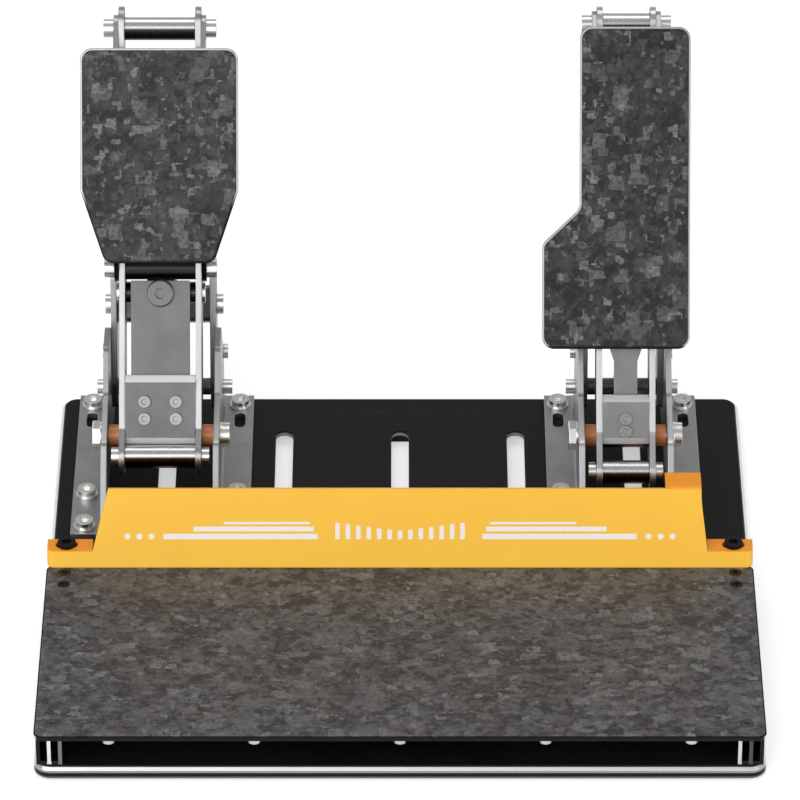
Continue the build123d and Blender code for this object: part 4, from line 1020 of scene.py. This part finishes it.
def add_turned(made, side, rings, count, flats=math.inf, smooth=True):
    """Adds a turned piece on the rod's axis, with six flats if their distance is given."""
    placed = []
    for reach, radius in rings:
        ring = []
        for index in range(count):
            angle = index / count * math.tau
            to_flats = flats / math.cos(angle % (math.pi / 3) - math.pi / 6)
            far = min(to_flats, radius * mm)
            ring.append(rod_spot(side, math.cos(angle) * far, math.sin(angle) * far, reach * mm))
        placed.append(ring)
    closed_tube(made, placed, smooth)


def add_thread(made, side):
    """Adds one raised turn after another, run out over half a turn at each end."""
    turns = (thread_stop - thread_start) / thread_pitch - 1.0
    steps = int(turns * thread_steps)
    rings = []
    for step in range(steps + 1):
        turn = step / steps * turns
        full = min(turn, turns - turn, run_out_turns) / run_out_turns
        crest = thread_root + (thread_crest - thread_root) * max(full, lowest_run_out)
        middle = thread_start + (turn + 0.5) * thread_pitch
        x, y = math.cos(turn * math.tau), math.sin(turn * math.tau)
        ring = []
        for radius, beside in (
            (thread_root, -thread_foot_half),
            (crest, -thread_crest_half),
            (crest, thread_crest_half),
            (thread_root, thread_foot_half),
        ):
            ring.append(rod_spot(side, x * radius, y * radius, middle + beside))
        rings.append(ring)
    closed_tube(made, rings)


def thread_rod(side):
    """Push rod, plain at the seat and bevelled at the tail, with its lock nut."""
    made = bmesh.new()
    add_turned(made, side, core_rings, core_sides)
    add_thread(made, side)
    add_turned(made, side, nut_rings, nut_sides, nut_half_flats, smooth=False)
    rod = dressed(side + "_threaded_rod", made, own_finishes[side + "_rod"])
    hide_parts(side + "_rod")
    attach(rod, side + "_push_rod")


wind_spring("brake", radius=8.6 * mm, wire=1.5 * mm, turns=4.6, closed=0.75)
wind_spring("gas", radius=7.4 * mm, wire=1.1 * mm, turns=5.2, closed=0.5)
thread_rod("brake")
thread_rod("gas")


# Stage

def floor_finish():
    """Pale floor that reads white to the eye and in metal, and still takes the object's shadow."""
    material, tree, shader = finish_base("pale floor", Roughness=0.9, Specular_IOR_Level=0.1)
    patches = noise(tree, here(tree), scale=3.0, detail=2.0, roughness=0.5).outputs[0]
    pale = mixed(tree, spread(tree, patches, 0.4, 0.6), grey(0.86), grey(0.88))
    feed(tree, shader.inputs["Base Color"], pale)
    rays = add(tree, "ShaderNodeLightPath").outputs
    seen = any_of(tree, rays["Is Camera Ray"], rays["Is Glossy Ray"], rays["Is Transmission Ray"])
    shader.inputs["Emission Color"].default_value = grey(1.0)
    feed(tree, shader.inputs["Emission Strength"], maths(tree, "MULTIPLY", seen, 0.5))
    return material


def make_stage():
    """Square floor under the object, twelve metres wide."""
    half = 6.0
    mesh = bpy.data.meshes.new("floor")
    corners = [(-half, -half, 0), (half, -half, 0), (half, half, 0), (-half, half, 0)]
    mesh.from_pydata(corners, [], [(0, 1, 2, 3)])
    floor = bpy.data.objects.new("floor", mesh)
    bpy.context.scene.collection.objects.link(floor)
    mesh.materials.append(floor_finish())


def make_world():
    """Pale room: a white band along the horizon and a dimmer ceiling."""
    world = bpy.data.worlds.new("studio")
    bpy.context.scene.world = world
    world.use_nodes = True
    tree = world.node_tree
    background = tree.nodes["Background"]
    height = parts_of(tree, add(tree, "ShaderNodeTexCoord").outputs["Generated"])[2]
    dimmer = spread(tree, height, 0.12, 0.42, to_low=1.0, to_high=0.4)
    feed(tree, background.inputs["Strength"], dimmer)
    background.inputs["Color"].default_value = grey(1.0)


def make_lamp(name, place, size, power):
    """Soft lamp, its width and height in metres, aimed at the set."""
    lamp = bpy.data.lights.new(name, "AREA")
    lamp.shape = "RECTANGLE"
    lamp.size, lamp.size_y = size
    lamp.energy = power
    holder = bpy.data.objects.new(name, lamp)
    bpy.context.scene.collection.objects.link(holder)
    holder.location = place
    aim = Vector((0, 0, 0.1))
    holder.rotation_euler = (aim - Vector(place)).to_track_quat("-Z", "Y").to_euler()


def make_camera():
    """Long lens, looking down on the set. Its line of sight passes a lift above the origin."""
    raised = math.radians(34.0)
    distance = 3.1136
    lift = 0.0945
    camera = bpy.data.cameras.new("camera")
    camera.sensor_width = 36.0
    camera.lens = 277.7
    camera.clip_end = 40.0
    holder = bpy.data.objects.new("camera", camera)
    bpy.context.scene.collection.objects.link(holder)
    holder.location = (
        0.0,
        -distance * math.cos(raised) + lift * math.sin(raised),
        distance * math.sin(raised) + lift * math.cos(raised),
    )
    holder.rotation_euler = (math.radians(90.0) - raised, 0.0, 0.0)
    bpy.context.scene.camera = holder


make_stage()
make_world()
make_lamp("key", place=(-1.1, -2.0, 1.5), size=(2.4, 2.0), power=33.0)
make_lamp("fill", place=(1.7, -1.6, 1.0), size=(1.2, 1.4), power=11.0)
make_lamp("top", place=(0.1, 0.9, 2.3), size=(1.6, 1.0), power=8.0)
make_camera()
bpy.context.scene.view_settings.view_transform = "Standard"
